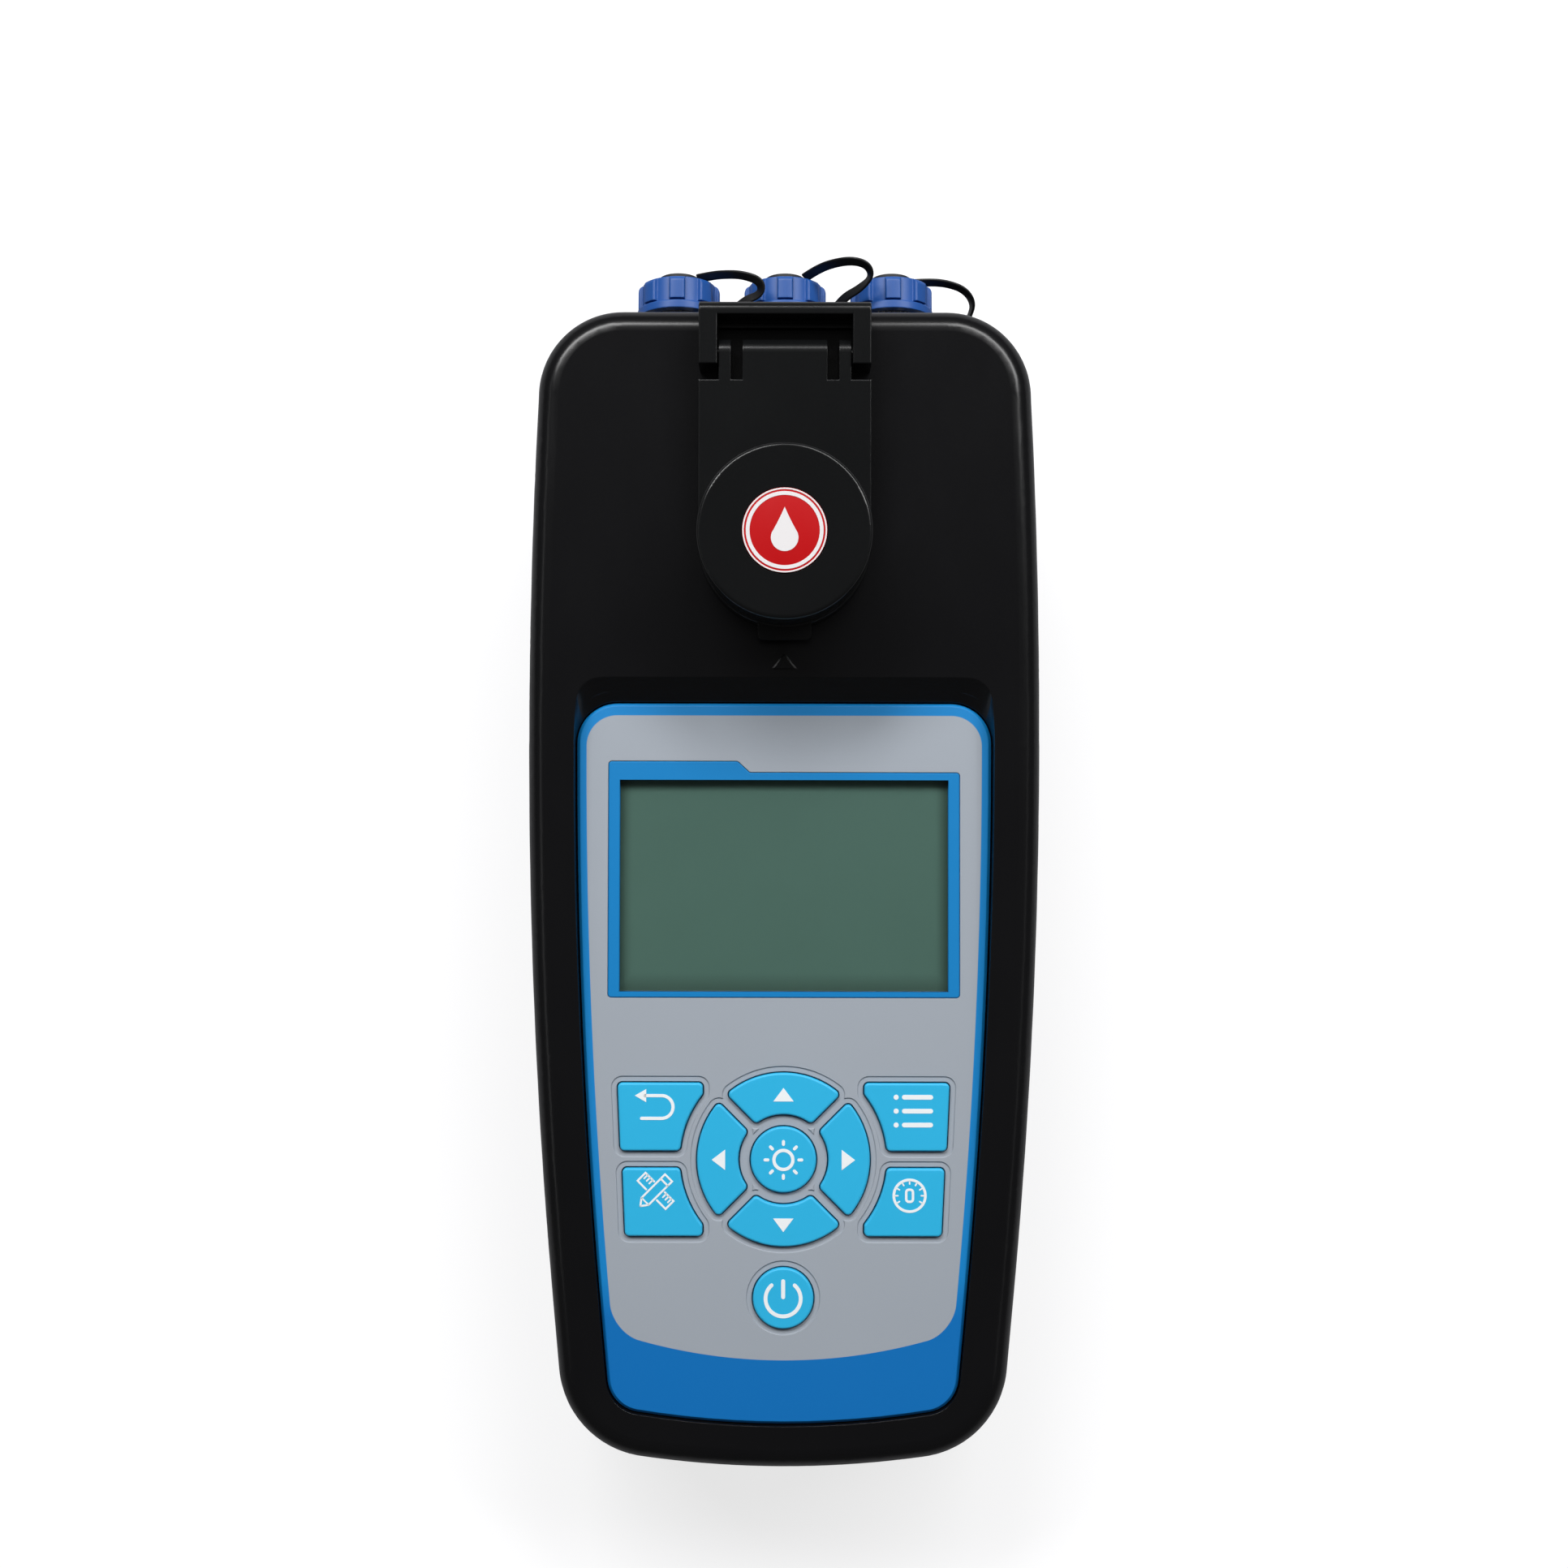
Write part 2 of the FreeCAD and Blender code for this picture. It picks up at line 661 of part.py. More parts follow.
def board_holes():
    """Places of the board's screws on both sides."""
    return both_sides(BOARD_SCREWS)


def main_board():
    """Circuit board behind the display and the keys."""
    face = rounded(rectangle(BOARD_HALF_WIDTH, BOARD_BOTTOM_Y, BOARD_TOP_Y), BOARD_CORNER)
    board = prism(face, -BOARD_DEPTH - BOARD_THICKNESS, -BOARD_DEPTH)
    for x, y in board_holes():
        board = board.cut(disc(BOARD_SCREW_RADIUS + SCREW_CLEARANCE, -TALL, 0, x, y))
    return board


def board_screws():
    """Screws that hold the board to the upper case."""
    under = -BOARD_DEPTH - BOARD_THICKNESS
    screws = []
    for x, y in board_holes():
        head = disc(2 * BOARD_SCREW_RADIUS, under - BOARD_SCREW_HEAD, under, x, y)
        shank = disc(BOARD_SCREW_RADIUS, under, PANEL_SEAT - 1, x, y)
        screws.append(head.fuse(shank).removeSplitter())
    return Part.makeCompound(screws)


def above_face(lift):
    """Everything above the face, or above a plane parallel to it."""
    slab = block(-TALL, TALL, -2 * TALL, 2 * TALL, lift, lift + TALL)
    return placed(slab, face_place())


def screw_tool(radius, low, high):
    """Upright holes at the places of the case screws."""
    return [disc(radius, low, high, x, y) for x, y in both_sides(SCREW_PLACES)]


def upper_case():
    """Deep shell with the tilted face, the panel's recess and the holes for the sockets."""
    body = CASE.solid(0, PARTING_HEIGHT, TALL).cut(above_face(0))
    top = max(body.Faces, key=lambda f: f.CenterOfMass.z)
    body = body.makeFillet(CASE_EDGE, top.OuterWire.Edges)
    hollow = CASE.solid(CASE_WALL, PARTING_HEIGHT - 1, TALL).cut(above_face(-CASE_WALL))
    tub = placed(PANEL.solid(-PANEL_GAP - LEDGE, PANEL_SEAT - LEDGE, TALL), panel_place())
    shell = body.cut(hollow).fuse(tub.common(body))
    shell = shell.fuse([b.common(body) for b in screw_tool(BOSS_RADIUS, PARTING_HEIGHT, TALL)])
    for x, y in board_holes():
        boss = disc(BOARD_BOSS_RADIUS, -BOARD_DEPTH, PANEL_SEAT - LEDGE / 2, x, y)
        shell = shell.fuse(placed(boss, panel_place()))
    shell = shell.cut(placed(recess_tool(), panel_place()))
    for tool in panel_openings():
        shell = shell.cut(placed(tool, panel_place()))
    pilot_top = STAND + SCREW_SINK + SCREW_LENGTH + 1
    shell = shell.cut(screw_tool(SCREW_RADIUS + FIT / 2, 0, pilot_top))
    shell = shell.cut(placed(disc(COLLAR_SPIGOT, -TALL, TALL, 0, WELL_Y), face_place()))
    for x in (-SOCKET_X, 0, SOCKET_X):
        hole = disc(SOCKET_RADIUS, -2 * CASE_WALL, CASE_WALL)
        shell = shell.cut(placed(hole, socket_place(x)))
    shell = shell.cut(placed(bracket_feet(FIT / 2), face_place()))
    shell = shell.fuse(placed(pointer(), face_place()))
    return shell.removeSplitter()


def panel_openings():
    """Openings in the ledge under the panel, for the display, the keypad and the board's screws."""
    bezel_half = GLASS_HALF_WIDTH + FIT + BEZEL_WALL + MAT_GAP
    low = GLASS_BOTTOM_Y - FIT - BEZEL_WALL - MAT_GAP
    high = GLASS_TOP_Y + FIT + BEZEL_WALL + MAT_GAP
    depth = PANEL_SEAT - LEDGE - 1
    tools = [prism(rectangle(bezel_half, low, high), depth, PANEL_SEAT)]
    tools.append(prism(mat_face().makeOffset2D(MAT_GAP), depth, PANEL_SEAT))
    for x, y in board_holes():
        tools.append(disc(BOARD_SCREW_RADIUS + FIT / 2, -BOARD_DEPTH - 1, PANEL_SEAT - LEDGE / 3, x, y))
    return tools


def pointer():
    """Small moulded triangle that points at the sample cover."""
    half = POINTER_WIDTH / 2
    face = polygon([(-half, POINTER_BASE_Y), (half, POINTER_BASE_Y), (0, POINTER_BASE_Y + POINTER_LENGTH)])
    return prism(face, -1, POINTER_HEIGHT)


def gasket(low, high):
    """Band that follows the case, in the middle of its rim."""
    return CASE.solid(GASKET_INSET, low, high).cut(CASE.solid(GASKET_INSET + GASKET_WIDTH, low, high))


def lower_case():
    """Shallow shell with the battery bay, screw bosses and recesses for the feet."""
    top = PARTING_HEIGHT - SEAM_HEIGHT
    body = Part.makeLoft([CASE.wire(DRAFT, STAND), CASE.wire(0, top)], True, True)
    body = body.makeFillet(BOTTOM_EDGE, edges_at(body, STAND))
    rim = CASE.solid(SEAM_DEPTH, top, PARTING_HEIGHT)
    body = body.fuse(rim)
    shell = body.cut(CASE.solid(CASE_WALL + DRAFT, FLOOR, PARTING_HEIGHT + 1))
    tub = prism(bay_face(BAY_WALL), STAND, BAY_TOP + BAY_WALL)
    ledge = prism(lid_face(BAY_WALL), STAND, LID_SEAT + BAY_WALL)
    shell = shell.fuse([tub, ledge] + screw_tool(BOSS_RADIUS, STAND, PARTING_HEIGHT))
    shell = shell.cut(gasket(PARTING_HEIGHT - GASKET_DEPTH, TALL))
    shell = shell.cut(prism(bay_face(0), 0, BAY_TOP))
    shell = shell.cut(prism(lid_face(PANEL_GAP), 0, LID_SEAT))
    shell = shell.cut(screw_tool(SCREW_RADIUS + SCREW_CLEARANCE, 0, TALL))
    shell = shell.cut(screw_tool(SCREW_HEAD_RADIUS + HEAD_CLEARANCE, 0, STAND + SCREW_SINK))
    for x, y in both_sides(FOOT_PLACES):
        shell = shell.cut(disc(FOOT_RADIUS + FIT / 2, 0, STAND + FOOT_SINK, x, y))
    for x, y in lid_screw_places():
        shell = shell.cut(disc(LID_SCREW_RADIUS + FIT / 2, 0, LID_SEAT + LID_SCREW_LENGTH, x, y))
    return shell.removeSplitter()


def case_gasket():
    """Rubber seal in the lower case's rim."""
    return gasket(PARTING_HEIGHT - GASKET_DEPTH, PARTING_HEIGHT)


def upright_screw(radius, head_radius, head_height, length):
    """Screw that points up, with a cross in its head and its head's bearing face at zero."""
    head = disc(head_radius, -head_height, 0)
    arm = head_radius * 0.6
    slot = arm / 4
    cross = block(-arm, arm, -slot, slot, -head_height, -head_height / 2)
    cross = cross.fuse(block(-slot, slot, -arm, arm, -head_height, -head_height / 2))
    return head.cut(cross).fuse(disc(radius, 0, length)).removeSplitter()


def spread(shape, places, height):
    """Copies of a shape at several places, as one group."""
    spots = [Placement(Vector(x, y, height), Rotation()) for x, y in places]
    return Part.makeCompound([placed(shape, spot) for spot in spots])


def case_screws():
    """Screws that join the two halves of the case."""
    screw = upright_screw(SCREW_RADIUS, SCREW_HEAD_RADIUS, SCREW_HEAD_HEIGHT, SCREW_LENGTH)
    return spread(screw, both_sides(SCREW_PLACES), STAND + SCREW_SINK)


def rubber_feet():
    """Round feet in shallow recesses."""
    foot = disc(FOOT_RADIUS, 0, STAND + FOOT_SINK)
    foot = foot.makeFillet(STAND / 3, edges_at(foot, 0))
    return spread(foot, both_sides(FOOT_PLACES), 0)


def bay_face(grow):
    """Outline of the battery bay, grown by a margin."""
    reach = BAY_LENGTH / 2 + grow
    return rectangle(BAY_WIDTH / 2 + grow, BAY_Y - reach, BAY_Y + reach)


def lid_face(grow):
    """Outline of the battery cover, grown by a margin."""
    face = rectangle(LID_HALF_WIDTH, BAY_Y - LID_HALF_LENGTH, BAY_Y + LID_HALF_LENGTH)
    face = rounded(face, LID_CORNER)
    return face.makeOffset2D(grow) if grow else face


def lid_screw_places():
    """Corners of the battery cover that take a screw."""
    x = LID_HALF_WIDTH - LID_SCREW_INSET
    y = LID_HALF_LENGTH - LID_SCREW_INSET
    return [(a * x, BAY_Y + b * y) for a in (1, -1) for b in (1, -1)]


def battery_cover():
    """Flat cover over the battery bay, with sunk screws and grip grooves."""
    cover = prism(lid_face(0), STAND, STAND + LID_THICKNESS)
    cover = cover.makeFillet(LID_EDGE, edges_at(cover, STAND))
    for x, y in lid_screw_places():
        cover = cover.cut(disc(LID_SCREW_RADIUS + SCREW_CLEARANCE, 0, TALL, x, y))
        cover = cover.cut(disc(LID_SCREW_HEAD + SCREW_CLEARANCE, 0, STAND + LID_THICKNESS / 2, x, y))
    for i in range(GRIP_COUNT):
        middle = BAY_Y + LID_HALF_LENGTH - LID_SCREW_INSET - GRIP_PITCH * i
        groove = block(
            -GRIP_HALF_LENGTH,
            GRIP_HALF_LENGTH,
            middle - GRIP_WIDTH / 2,
            middle + GRIP_WIDTH / 2,
            0,
            STAND + GRIP_DEPTH,
        )
        cover = cover.cut(groove)
    return cover


def battery_cover_seal():
    """Flat rubber frame under the battery cover's edge."""
    frame = bay_face(LID_SEAL_WIDTH).cut(bay_face(0)).Faces[0]
    return prism(frame, STAND + LID_THICKNESS, LID_SEAT)


def battery_cover_screws():
    """Four screws that hold the battery cover."""
    screw = upright_screw(LID_SCREW_RADIUS, LID_SCREW_HEAD, LID_THICKNESS / 2 - FIT, LID_SCREW_LENGTH)
    return spread(screw, lid_screw_places(), STAND + LID_THICKNESS / 2)


def cell_places():
    """Middle of each cell across the bay."""
    first = -CELL_PITCH * (CELL_COUNT - 1) / 2
    return [first + CELL_PITCH * i for i in range(CELL_COUNT)]


def battery_cells():
    """Four cells side by side, each the other way round from the next."""
    cell = disc(CELL_RADIUS, 0, CELL_LENGTH)
    cell = cell.fuse(disc(CELL_PIP_RADIUS, CELL_LENGTH, CELL_LENGTH + CELL_PIP_LENGTH)).removeSplitter()
    total = CELL_LENGTH + CELL_PIP_LENGTH
    height = LID_SEAT + CELL_RADIUS
    cells = []
    for i, x in enumerate(cell_places()):
        way = 1 if i % 2 else -1
        start = Vector(x, BAY_Y - way * total / 2, height)
        cells.append(placed(cell, Placement(start, Rotation(Vector(1, 0, 0), -90 * way))))
    return Part.makeCompound(cells)


def battery_contacts():
    """Contact plates at both ends of each cell, standing off the bay's end walls."""
    half = (CELL_LENGTH + CELL_PIP_LENGTH) / 2
    reach = BAY_LENGTH / 2
    plates = []
    for x in cell_places():
        for way in (1, -1):
            ends = sorted((BAY_Y + way * reach, BAY_Y + way * (reach - CONTACT_THICKNESS)))
            low = LID_SEAT + CONTACT_INSET
            side = CELL_RADIUS * 0.8
            plate = block(x - side, x + side, ends[0], ends[1], low, BAY_TOP - CONTACT_INSET)
            spring = Part.makeCone(
                CELL_RADIUS * 0.6,
                CELL_RADIUS * 0.3,
                reach - CONTACT_THICKNESS - half,
                Vector(x, BAY_Y + way * (reach - CONTACT_THICKNESS), LID_SEAT + CELL_RADIUS),
                Vector(0, -way, 0),
            )
            plates.append(plate.fuse(spring))
    return Part.makeCompound(plates)


def sample_well():
    """Dark tube for the sample cell, with three round windows for the light."""
    low = -CASE_WALL - WELL_LENGTH
    well = turned([
        (0, low - WELL_FLOOR),
        (WELL_OUTER, low - WELL_FLOOR),
        (WELL_OUTER, -CASE_WALL),
        (WELL_BORE, -CASE_WALL),
        (WELL_BORE, low),
        (0, low),
    ])
    for direction in (Vector(1, 0, 0), Vector(-1, 0, 0), Vector(0, -1, 0)):
        window = Part.makeCylinder(WINDOW_RADIUS, 2 * WELL_BORE, Vector(0, 0, -WINDOW_DEPTH), direction)
        well = well.cut(window)
    return placed(well, Placement(Vector(0, WELL_Y, 0), Rotation()))


def optic(turn):
    """Block on the side of the well, with a nose in one of its windows."""
    half = OPTIC_SIZE / 2
    near = sqrt(WELL_OUTER**2 - half**2)
    body = block(near, WELL_OUTER + OPTIC_LENGTH, -half, half, -half, half)
    body = body.cut(disc(WELL_OUTER, -OPTIC_SIZE, OPTIC_SIZE))
    nose_start = WELL_BORE + OPTIC_GAP
    nose = Part.makeCylinder(WINDOW_RADIUS - FIT, OPTIC_NOSE, Vector(nose_start, 0, 0), Vector(1, 0, 0))
    shape = body.fuse(nose).removeSplitter()
    return placed(shape, Placement(Vector(0, WELL_Y, -WINDOW_DEPTH), Rotation(UP, turn)))


def well_collar():
    """Collar round the mouth of the well, which the cover's seal comes down on."""
    collar = turned([
        (COLLAR_BORE, -CASE_WALL),
        (COLLAR_SPIGOT - FIT / 2, -CASE_WALL),
        (COLLAR_SPIGOT - FIT / 2, 0),
        (COLLAR_RADIUS, 0),
        (COLLAR_RADIUS, COLLAR_HEIGHT),
        (COLLAR_BORE + COLLAR_CHAMFER, COLLAR_HEIGHT),
        (COLLAR_BORE, COLLAR_HEIGHT - COLLAR_CHAMFER),
    ])
    return placed(collar, Placement(Vector(0, WELL_Y, 0), Rotation()))


def cover_face(inset):
    """Outline of the cover's plate up to its slots: straight sides and a round front."""
    half = COVER_HALF_WIDTH - inset
    sides = rectangle(half, WELL_Y, COVER_SLOT_Y - inset)
    front = Part.Face(Part.Wire(Part.makeCircle(half, Vector(0, WELL_Y, 0))))
    return sides.fuse(front).removeSplitter().Faces[0]


def hinge_knuckle(x0, x1):
    """Stretch of the cover's plate that ends in a round knuckle about the hinge's axis."""
    start = COVER_SLOT_Y - COVER_SKIRT
    arm = block(x0, x1, start, HINGE_Y, COVER_TOP - COVER_PLATE, COVER_TOP)
    round_end = Part.makeCylinder(HINGE_RADIUS, x1 - x0, Vector(x0, HINGE_Y, HINGE_HEIGHT), Vector(1, 0, 0))
    return arm.fuse(round_end)


def cover_plate():
    """Hinged plate with a skirt, a finger tab, two springy hinge tabs with pips and a tongue."""
    bottom = COVER_TOP - COVER_PLATE
    shell = prism(cover_face(0), COVER_FLOAT, COVER_TOP)
    shell = shell.makeFillet(COVER_EDGE, edges_at(shell, COVER_TOP))
    shell = shell.cut(prism(cover_face(COVER_SKIRT), COVER_FLOAT, bottom))
    tip = WELL_Y - COVER_HALF_WIDTH - FINGER_REACH
    finger = rounded(rectangle(FINGER_HALF_WIDTH, tip, WELL_Y - KNOB_SPIGOT), FINGER_CORNER)
    finger = prism(finger, bottom, COVER_TOP - FIT)
    shell = shell.fuse(finger)
    shell = shell.fuse(hinge_knuckle(-TONGUE_X, TONGUE_X))
    for side in (1, -1):
        x0, x1 = sorted((side * TAB_INNER_X, side * TAB_OUTER_X))
        pip_start = Vector(side * TAB_OUTER_X, HINGE_Y, HINGE_HEIGHT)
        pip = Part.makeCylinder(PIP_RADIUS, PIP_LENGTH, pip_start, Vector(side, 0, 0))
        shell = shell.fuse([hinge_knuckle(x0, x1), pip])
    shell = shell.cut(disc(KNOB_SPIGOT, 0, TALL, 0, WELL_Y))
    return shell.removeSplitter()


def cover_knob():
    """Cup over the mouth of the well, whose spigot sits in the plate."""
    inner = KNOB_SPIGOT - FIT / 2
    bottom = COVER_TOP - COVER_PLATE + FIT
    bore = inner - KNOB_SPIGOT_WALL
    floor = COVER_TOP + KNOB_FLOOR
    cup = turned([
        (bore, bottom),
        (inner, bottom),
        (inner, COVER_TOP),
        (KNOB_RADIUS, COVER_TOP),
        (KNOB_RADIUS, KNOB_TOP),
        (0, KNOB_TOP),
        (0, KNOB_TOP - KNOB_WALL),
        (KNOB_RADIUS - KNOB_WALL, KNOB_TOP - KNOB_WALL),
        (KNOB_RADIUS - KNOB_WALL, floor),
        (bore, floor),
    ])
    cup = cup.makeFillet(KNOB_EDGE, edges_at(cup, KNOB_TOP))
    cup = cup.cut(disc(BADGE_RADIUS + FIT / 2, KNOB_TOP - BADGE_SINK, TALL))
    return placed(cup, Placement(Vector(0, WELL_Y, 0), Rotation()))


def cover_badge():
    """Round disc let into the top of the knob."""
    low = KNOB_TOP - BADGE_SINK
    badge = disc(BADGE_RADIUS, low, low + BADGE_THICKNESS, 0, WELL_Y)
    return badge.makeFillet(BADGE_THICKNESS / 4, edges_at(badge, low + BADGE_THICKNESS))


def cover_seal():
    """Rubber ring under the plate, just over the collar."""
    top = COVER_TOP - COVER_PLATE
    return ring(SEAL_OUTER, SEAL_INNER, COLLAR_HEIGHT + SEAL_GAP, top, 0, WELL_Y)


def bracket_feet(grow):
    """Feet of the hinge bracket, which sit in pockets of the face."""
    feet = []
    for side in (1, -1):
        near = BRACKET_INNER_X + BRACKET_FOOT_INSET
        far = BRACKET_HALF_WIDTH - BRACKET_FOOT_INSET
        x0, x1 = sorted((side * near, side * far))
        y0 = BRACKET_FRONT_Y + BRACKET_FOOT_INSET
        y1 = y0 + BRACKET_FOOT
        feet.append(block(x0 - grow, x1 + grow, y0 - grow, y1 + grow, -BRACKET_SINK - grow, 0))
    return feet[0].fuse(feet[1])


def hinge_bracket():
    """Bar across the rear edge with two legs that carry the cover's pips."""
    body = block(-BRACKET_HALF_WIDTH, BRACKET_HALF_WIDTH, BRACKET_FRONT_Y, BRACKET_REAR_Y, 0, BRACKET_TOP)
    rear = BRACKET_REAR_Y - BRACKET_BAR
    body = body.cut(block(-BRACKET_INNER_X, BRACKET_INNER_X, 0, rear, -1, TALL))
    rear_edge = [e for e in edges_at(body, BRACKET_TOP) if e.BoundBox.YMin > BRACKET_REAR_Y - TOUCH]
    body = body.makeFillet(BRACKET_REAR_EDGE, rear_edge)
    body = body.makeFillet(BRACKET_EDGE, [e for e in edges_at(body, BRACKET_TOP) if e.BoundBox.YMin < rear + TOUCH])
    for side in (1, -1):
        start = Vector(side * (BRACKET_INNER_X - 1), HINGE_Y, HINGE_HEIGHT)
        depth = TAB_OUTER_X - BRACKET_INNER_X + 1 + PIP_LENGTH + PIP_END_GAP
        hole = Part.makeCylinder(PIP_RADIUS + PIP_CLEARANCE, depth, start, Vector(side, 0, 0))
        body = body.cut(hole)
    body = placed(body.fuse(bracket_feet(0)), face_place())
    skin = CASE.solid(0, 0, TALL).cut(above_face(0))
    top = max(skin.Faces, key=lambda f: f.CenterOfMass.z)
    skin = skin.makeFillet(CASE_EDGE, top.OuterWire.Edges)
    half = BRACKET_HALF_WIDTH
    drop = placed(block(-half, half, REAR - CASE_EDGE - 1, 2 * TALL, -CASE_EDGE, 0), face_place())
    fill = drop.common(CASE.solid(BRACKET_SKIN, 0, TALL)).cut(skin)
    return body.fuse(fill).removeSplitter()


def socket():
    """Round socket with a flange outside the wall, an open mouth and a threaded tail inside."""
    tail = -CASE_WALL - SOCKET_BEHIND
    thread = SOCKET_RADIUS - FIT / 2
    shoulder = WASHER_THICKNESS + SOCKET_FLANGE_THICKNESS
    floor = SOCKET_REACH - SOCKET_MOUTH_DEPTH - INSERT_THICKNESS
    return turned([
        (0, tail),
        (thread - SOCKET_CHAMFER, tail),
        (thread, tail + SOCKET_CHAMFER),
        (thread, WASHER_THICKNESS),
        (SOCKET_FLANGE, WASHER_THICKNESS),
        (SOCKET_FLANGE, shoulder),
        (SOCKET_RADIUS, shoulder),
        (SOCKET_RADIUS, SOCKET_REACH - SOCKET_CHAMFER),
        (SOCKET_RADIUS - SOCKET_CHAMFER, SOCKET_REACH),
        (SOCKET_MOUTH, SOCKET_REACH),
        (SOCKET_MOUTH, floor),
        (0, floor),
    ])


def in_sockets(shape):
    """Copies of a shape in all three sockets, as one group."""
    return Part.makeCompound([placed(shape, socket_place(x)) for x in (-SOCKET_X, 0, SOCKET_X)])


def socket_insert():
    """Insulating disc that carries the pins."""
    low = SOCKET_REACH - SOCKET_MOUTH_DEPTH - INSERT_THICKNESS
    body = disc(SOCKET_MOUTH - FIT / 4, low, low + INSERT_THICKNESS)
    return body.cut(contact_pins())


def contact_pins():
    """Pins on a circle in the socket's insert."""
    low = SOCKET_REACH - SOCKET_MOUTH_DEPTH - INSERT_THICKNESS / 2
    pins = []
    for i in range(PIN_COUNT):
        angle = radians(360 * i / PIN_COUNT + 90)
        x = PIN_CIRCLE * cos(angle)
        y = PIN_CIRCLE * sin(angle)
        pins.append(disc(PIN_RADIUS, low, low + INSERT_THICKNESS / 2 + PIN_REACH, x, y))
    return Part.makeCompound(pins)


def socket_nut():
    """Six-sided nut behind the wall."""
    radius = NUT_ACROSS / sqrt(3)
    corners = [(radius * cos(radians(60 * i)), radius * sin(radians(60 * i))) for i in range(6)]
    nut = prism(polygon(corners), -CASE_WALL - NUT_THICKNESS, -CASE_WALL)
    return nut.cut(disc(SOCKET_RADIUS, -TALL, TALL))


def upright_edges(solid, radius):
    """Upright edges of a solid that lie further than a radius from the Z axis."""
    spans = [(e, e.BoundBox) for e in solid.Edges]
    return [e for e, box in spans if box.ZLength > TOUCH and box.XLength < TOUCH and abs(box.YMax) > radius]


def dust_cap():
    """Cap nut with a plain ring at its mouth and broad round-edged ribs for the fingers."""
    low = CAP_GAP
    high = CAP_GAP + CAP_LENGTH
    body = disc(CAP_BODY_RADIUS, low, high)
    rib_half = CAP_RIB_WIDTH / 2
    rib = block(-rib_half, rib_half, 0, CAP_RIB_RADIUS, low + CAP_FLANGE + CAP_RIB_GAP, high)
    rib = rib.common(disc(CAP_RIB_RADIUS, low, high))
    rib = rib.makeFillet(CAP_RIB_ROUND, upright_edges(rib, CAP_BODY_RADIUS))
    for i in range(CAP_RIB_COUNT):
        body = body.fuse(placed(rib, Placement(Vector(), Rotation(UP, 360 * i / CAP_RIB_COUNT))))
    envelope = disc(CAP_RIB_RADIUS + TOUCH, low, high)
    envelope = envelope.makeFillet(CAP_EDGE, edges_at(envelope, high))
    body = body.common(envelope)
    flange = disc(CAP_RADIUS, low, low + CAP_FLANGE)
    flange = flange.makeFillet(CAP_FLANGE_EDGE, edges_at(flange, low + CAP_FLANGE))
    body = body.fuse(flange)
    body = body.cut(disc(SOCKET_RADIUS + CAP_CLEARANCE, low, high - CAP_END_WALL))
    body = body.cut(disc(RIVET_RADIUS + RIVET_CLEARANCE, low, high))
    return body.removeSplitter()


def cap_rivet():
    """Rivet through the cap's end, with a head at each side."""
    end = CAP_GAP + CAP_LENGTH
    inner = end - CAP_END_WALL - FIT
    outer = EYE_START + EYE_THICKNESS + FIT
    return turned([
        (0, inner - RIVET_HEAD_THICKNESS),
        (RIVET_HEAD, inner - RIVET_HEAD_THICKNESS),
        (RIVET_HEAD, inner),
        (RIVET_RADIUS, inner),
        (RIVET_RADIUS, outer),
        (RIVET_HEAD, outer),
        (RIVET_HEAD - RIVET_HEAD_THICKNESS / 2, outer + RIVET_HEAD_THICKNESS),
        (0, outer + RIVET_HEAD_THICKNESS),
    ])


def strap_eye():
    """Rubber ring of the strap, turning on the rivet."""
    return ring(EYE_RADIUS, RIVET_RADIUS, EYE_START, EYE_START + EYE_THICKNESS)


def strap_loop():
    """Rubber ring of the strap, round the socket's barrel."""
    low = WASHER_THICKNESS + SOCKET_FLANGE_THICKNESS + FIT
    return ring(LOOP_RADIUS, SOCKET_RADIUS, low, low + LOOP_THICKNESS)


def strap(route):
    """Limp strap as a tube: straight runs joined by arcs as large as the runs allow."""
    points = [Vector(x, REAR + y, z) for x, y, z in route]
    edges = []
    radii = []
    last = points[0]
    for before, corner, after in zip(points, points[1:], points[2:]):
        back = before.sub(corner)
        ahead = after.sub(corner)
        half_turn = (pi - back.getAngle(ahead)) / 2
        cut = 0.45 * min(back.Length, ahead.Length)
        radius = cut / tan(half_turn)
        radii.append(round(radius, 1))
        back.normalize()
        ahead.normalize()
        enter = corner.add(back * cut)
        leave = corner.add(ahead * cut)
        inward = back.add(ahead).normalize()
        middle = corner.add(inward * (radius / cos(half_turn) - radius))
        edges.append(Part.LineSegment(last, enter).toShape())
        edges.append(Part.Arc(enter, middle, leave).toShape())
        last = leave
    edges.append(Part.LineSegment(last, points[-1]).toShape())
    path = Part.Wire(edges)
    section = Part.Wire(Part.makeCircle(STRAP_RADIUS, points[0], points[1].sub(points[0])))
    tube = path.makePipeShell([section], True, False)
    share = tube.Volume / (pi * STRAP_RADIUS**2 * path.Length)
    print("strap radii", radii, "length", round(path.Length, 1), "volume share", round(share, 4))
    return tube


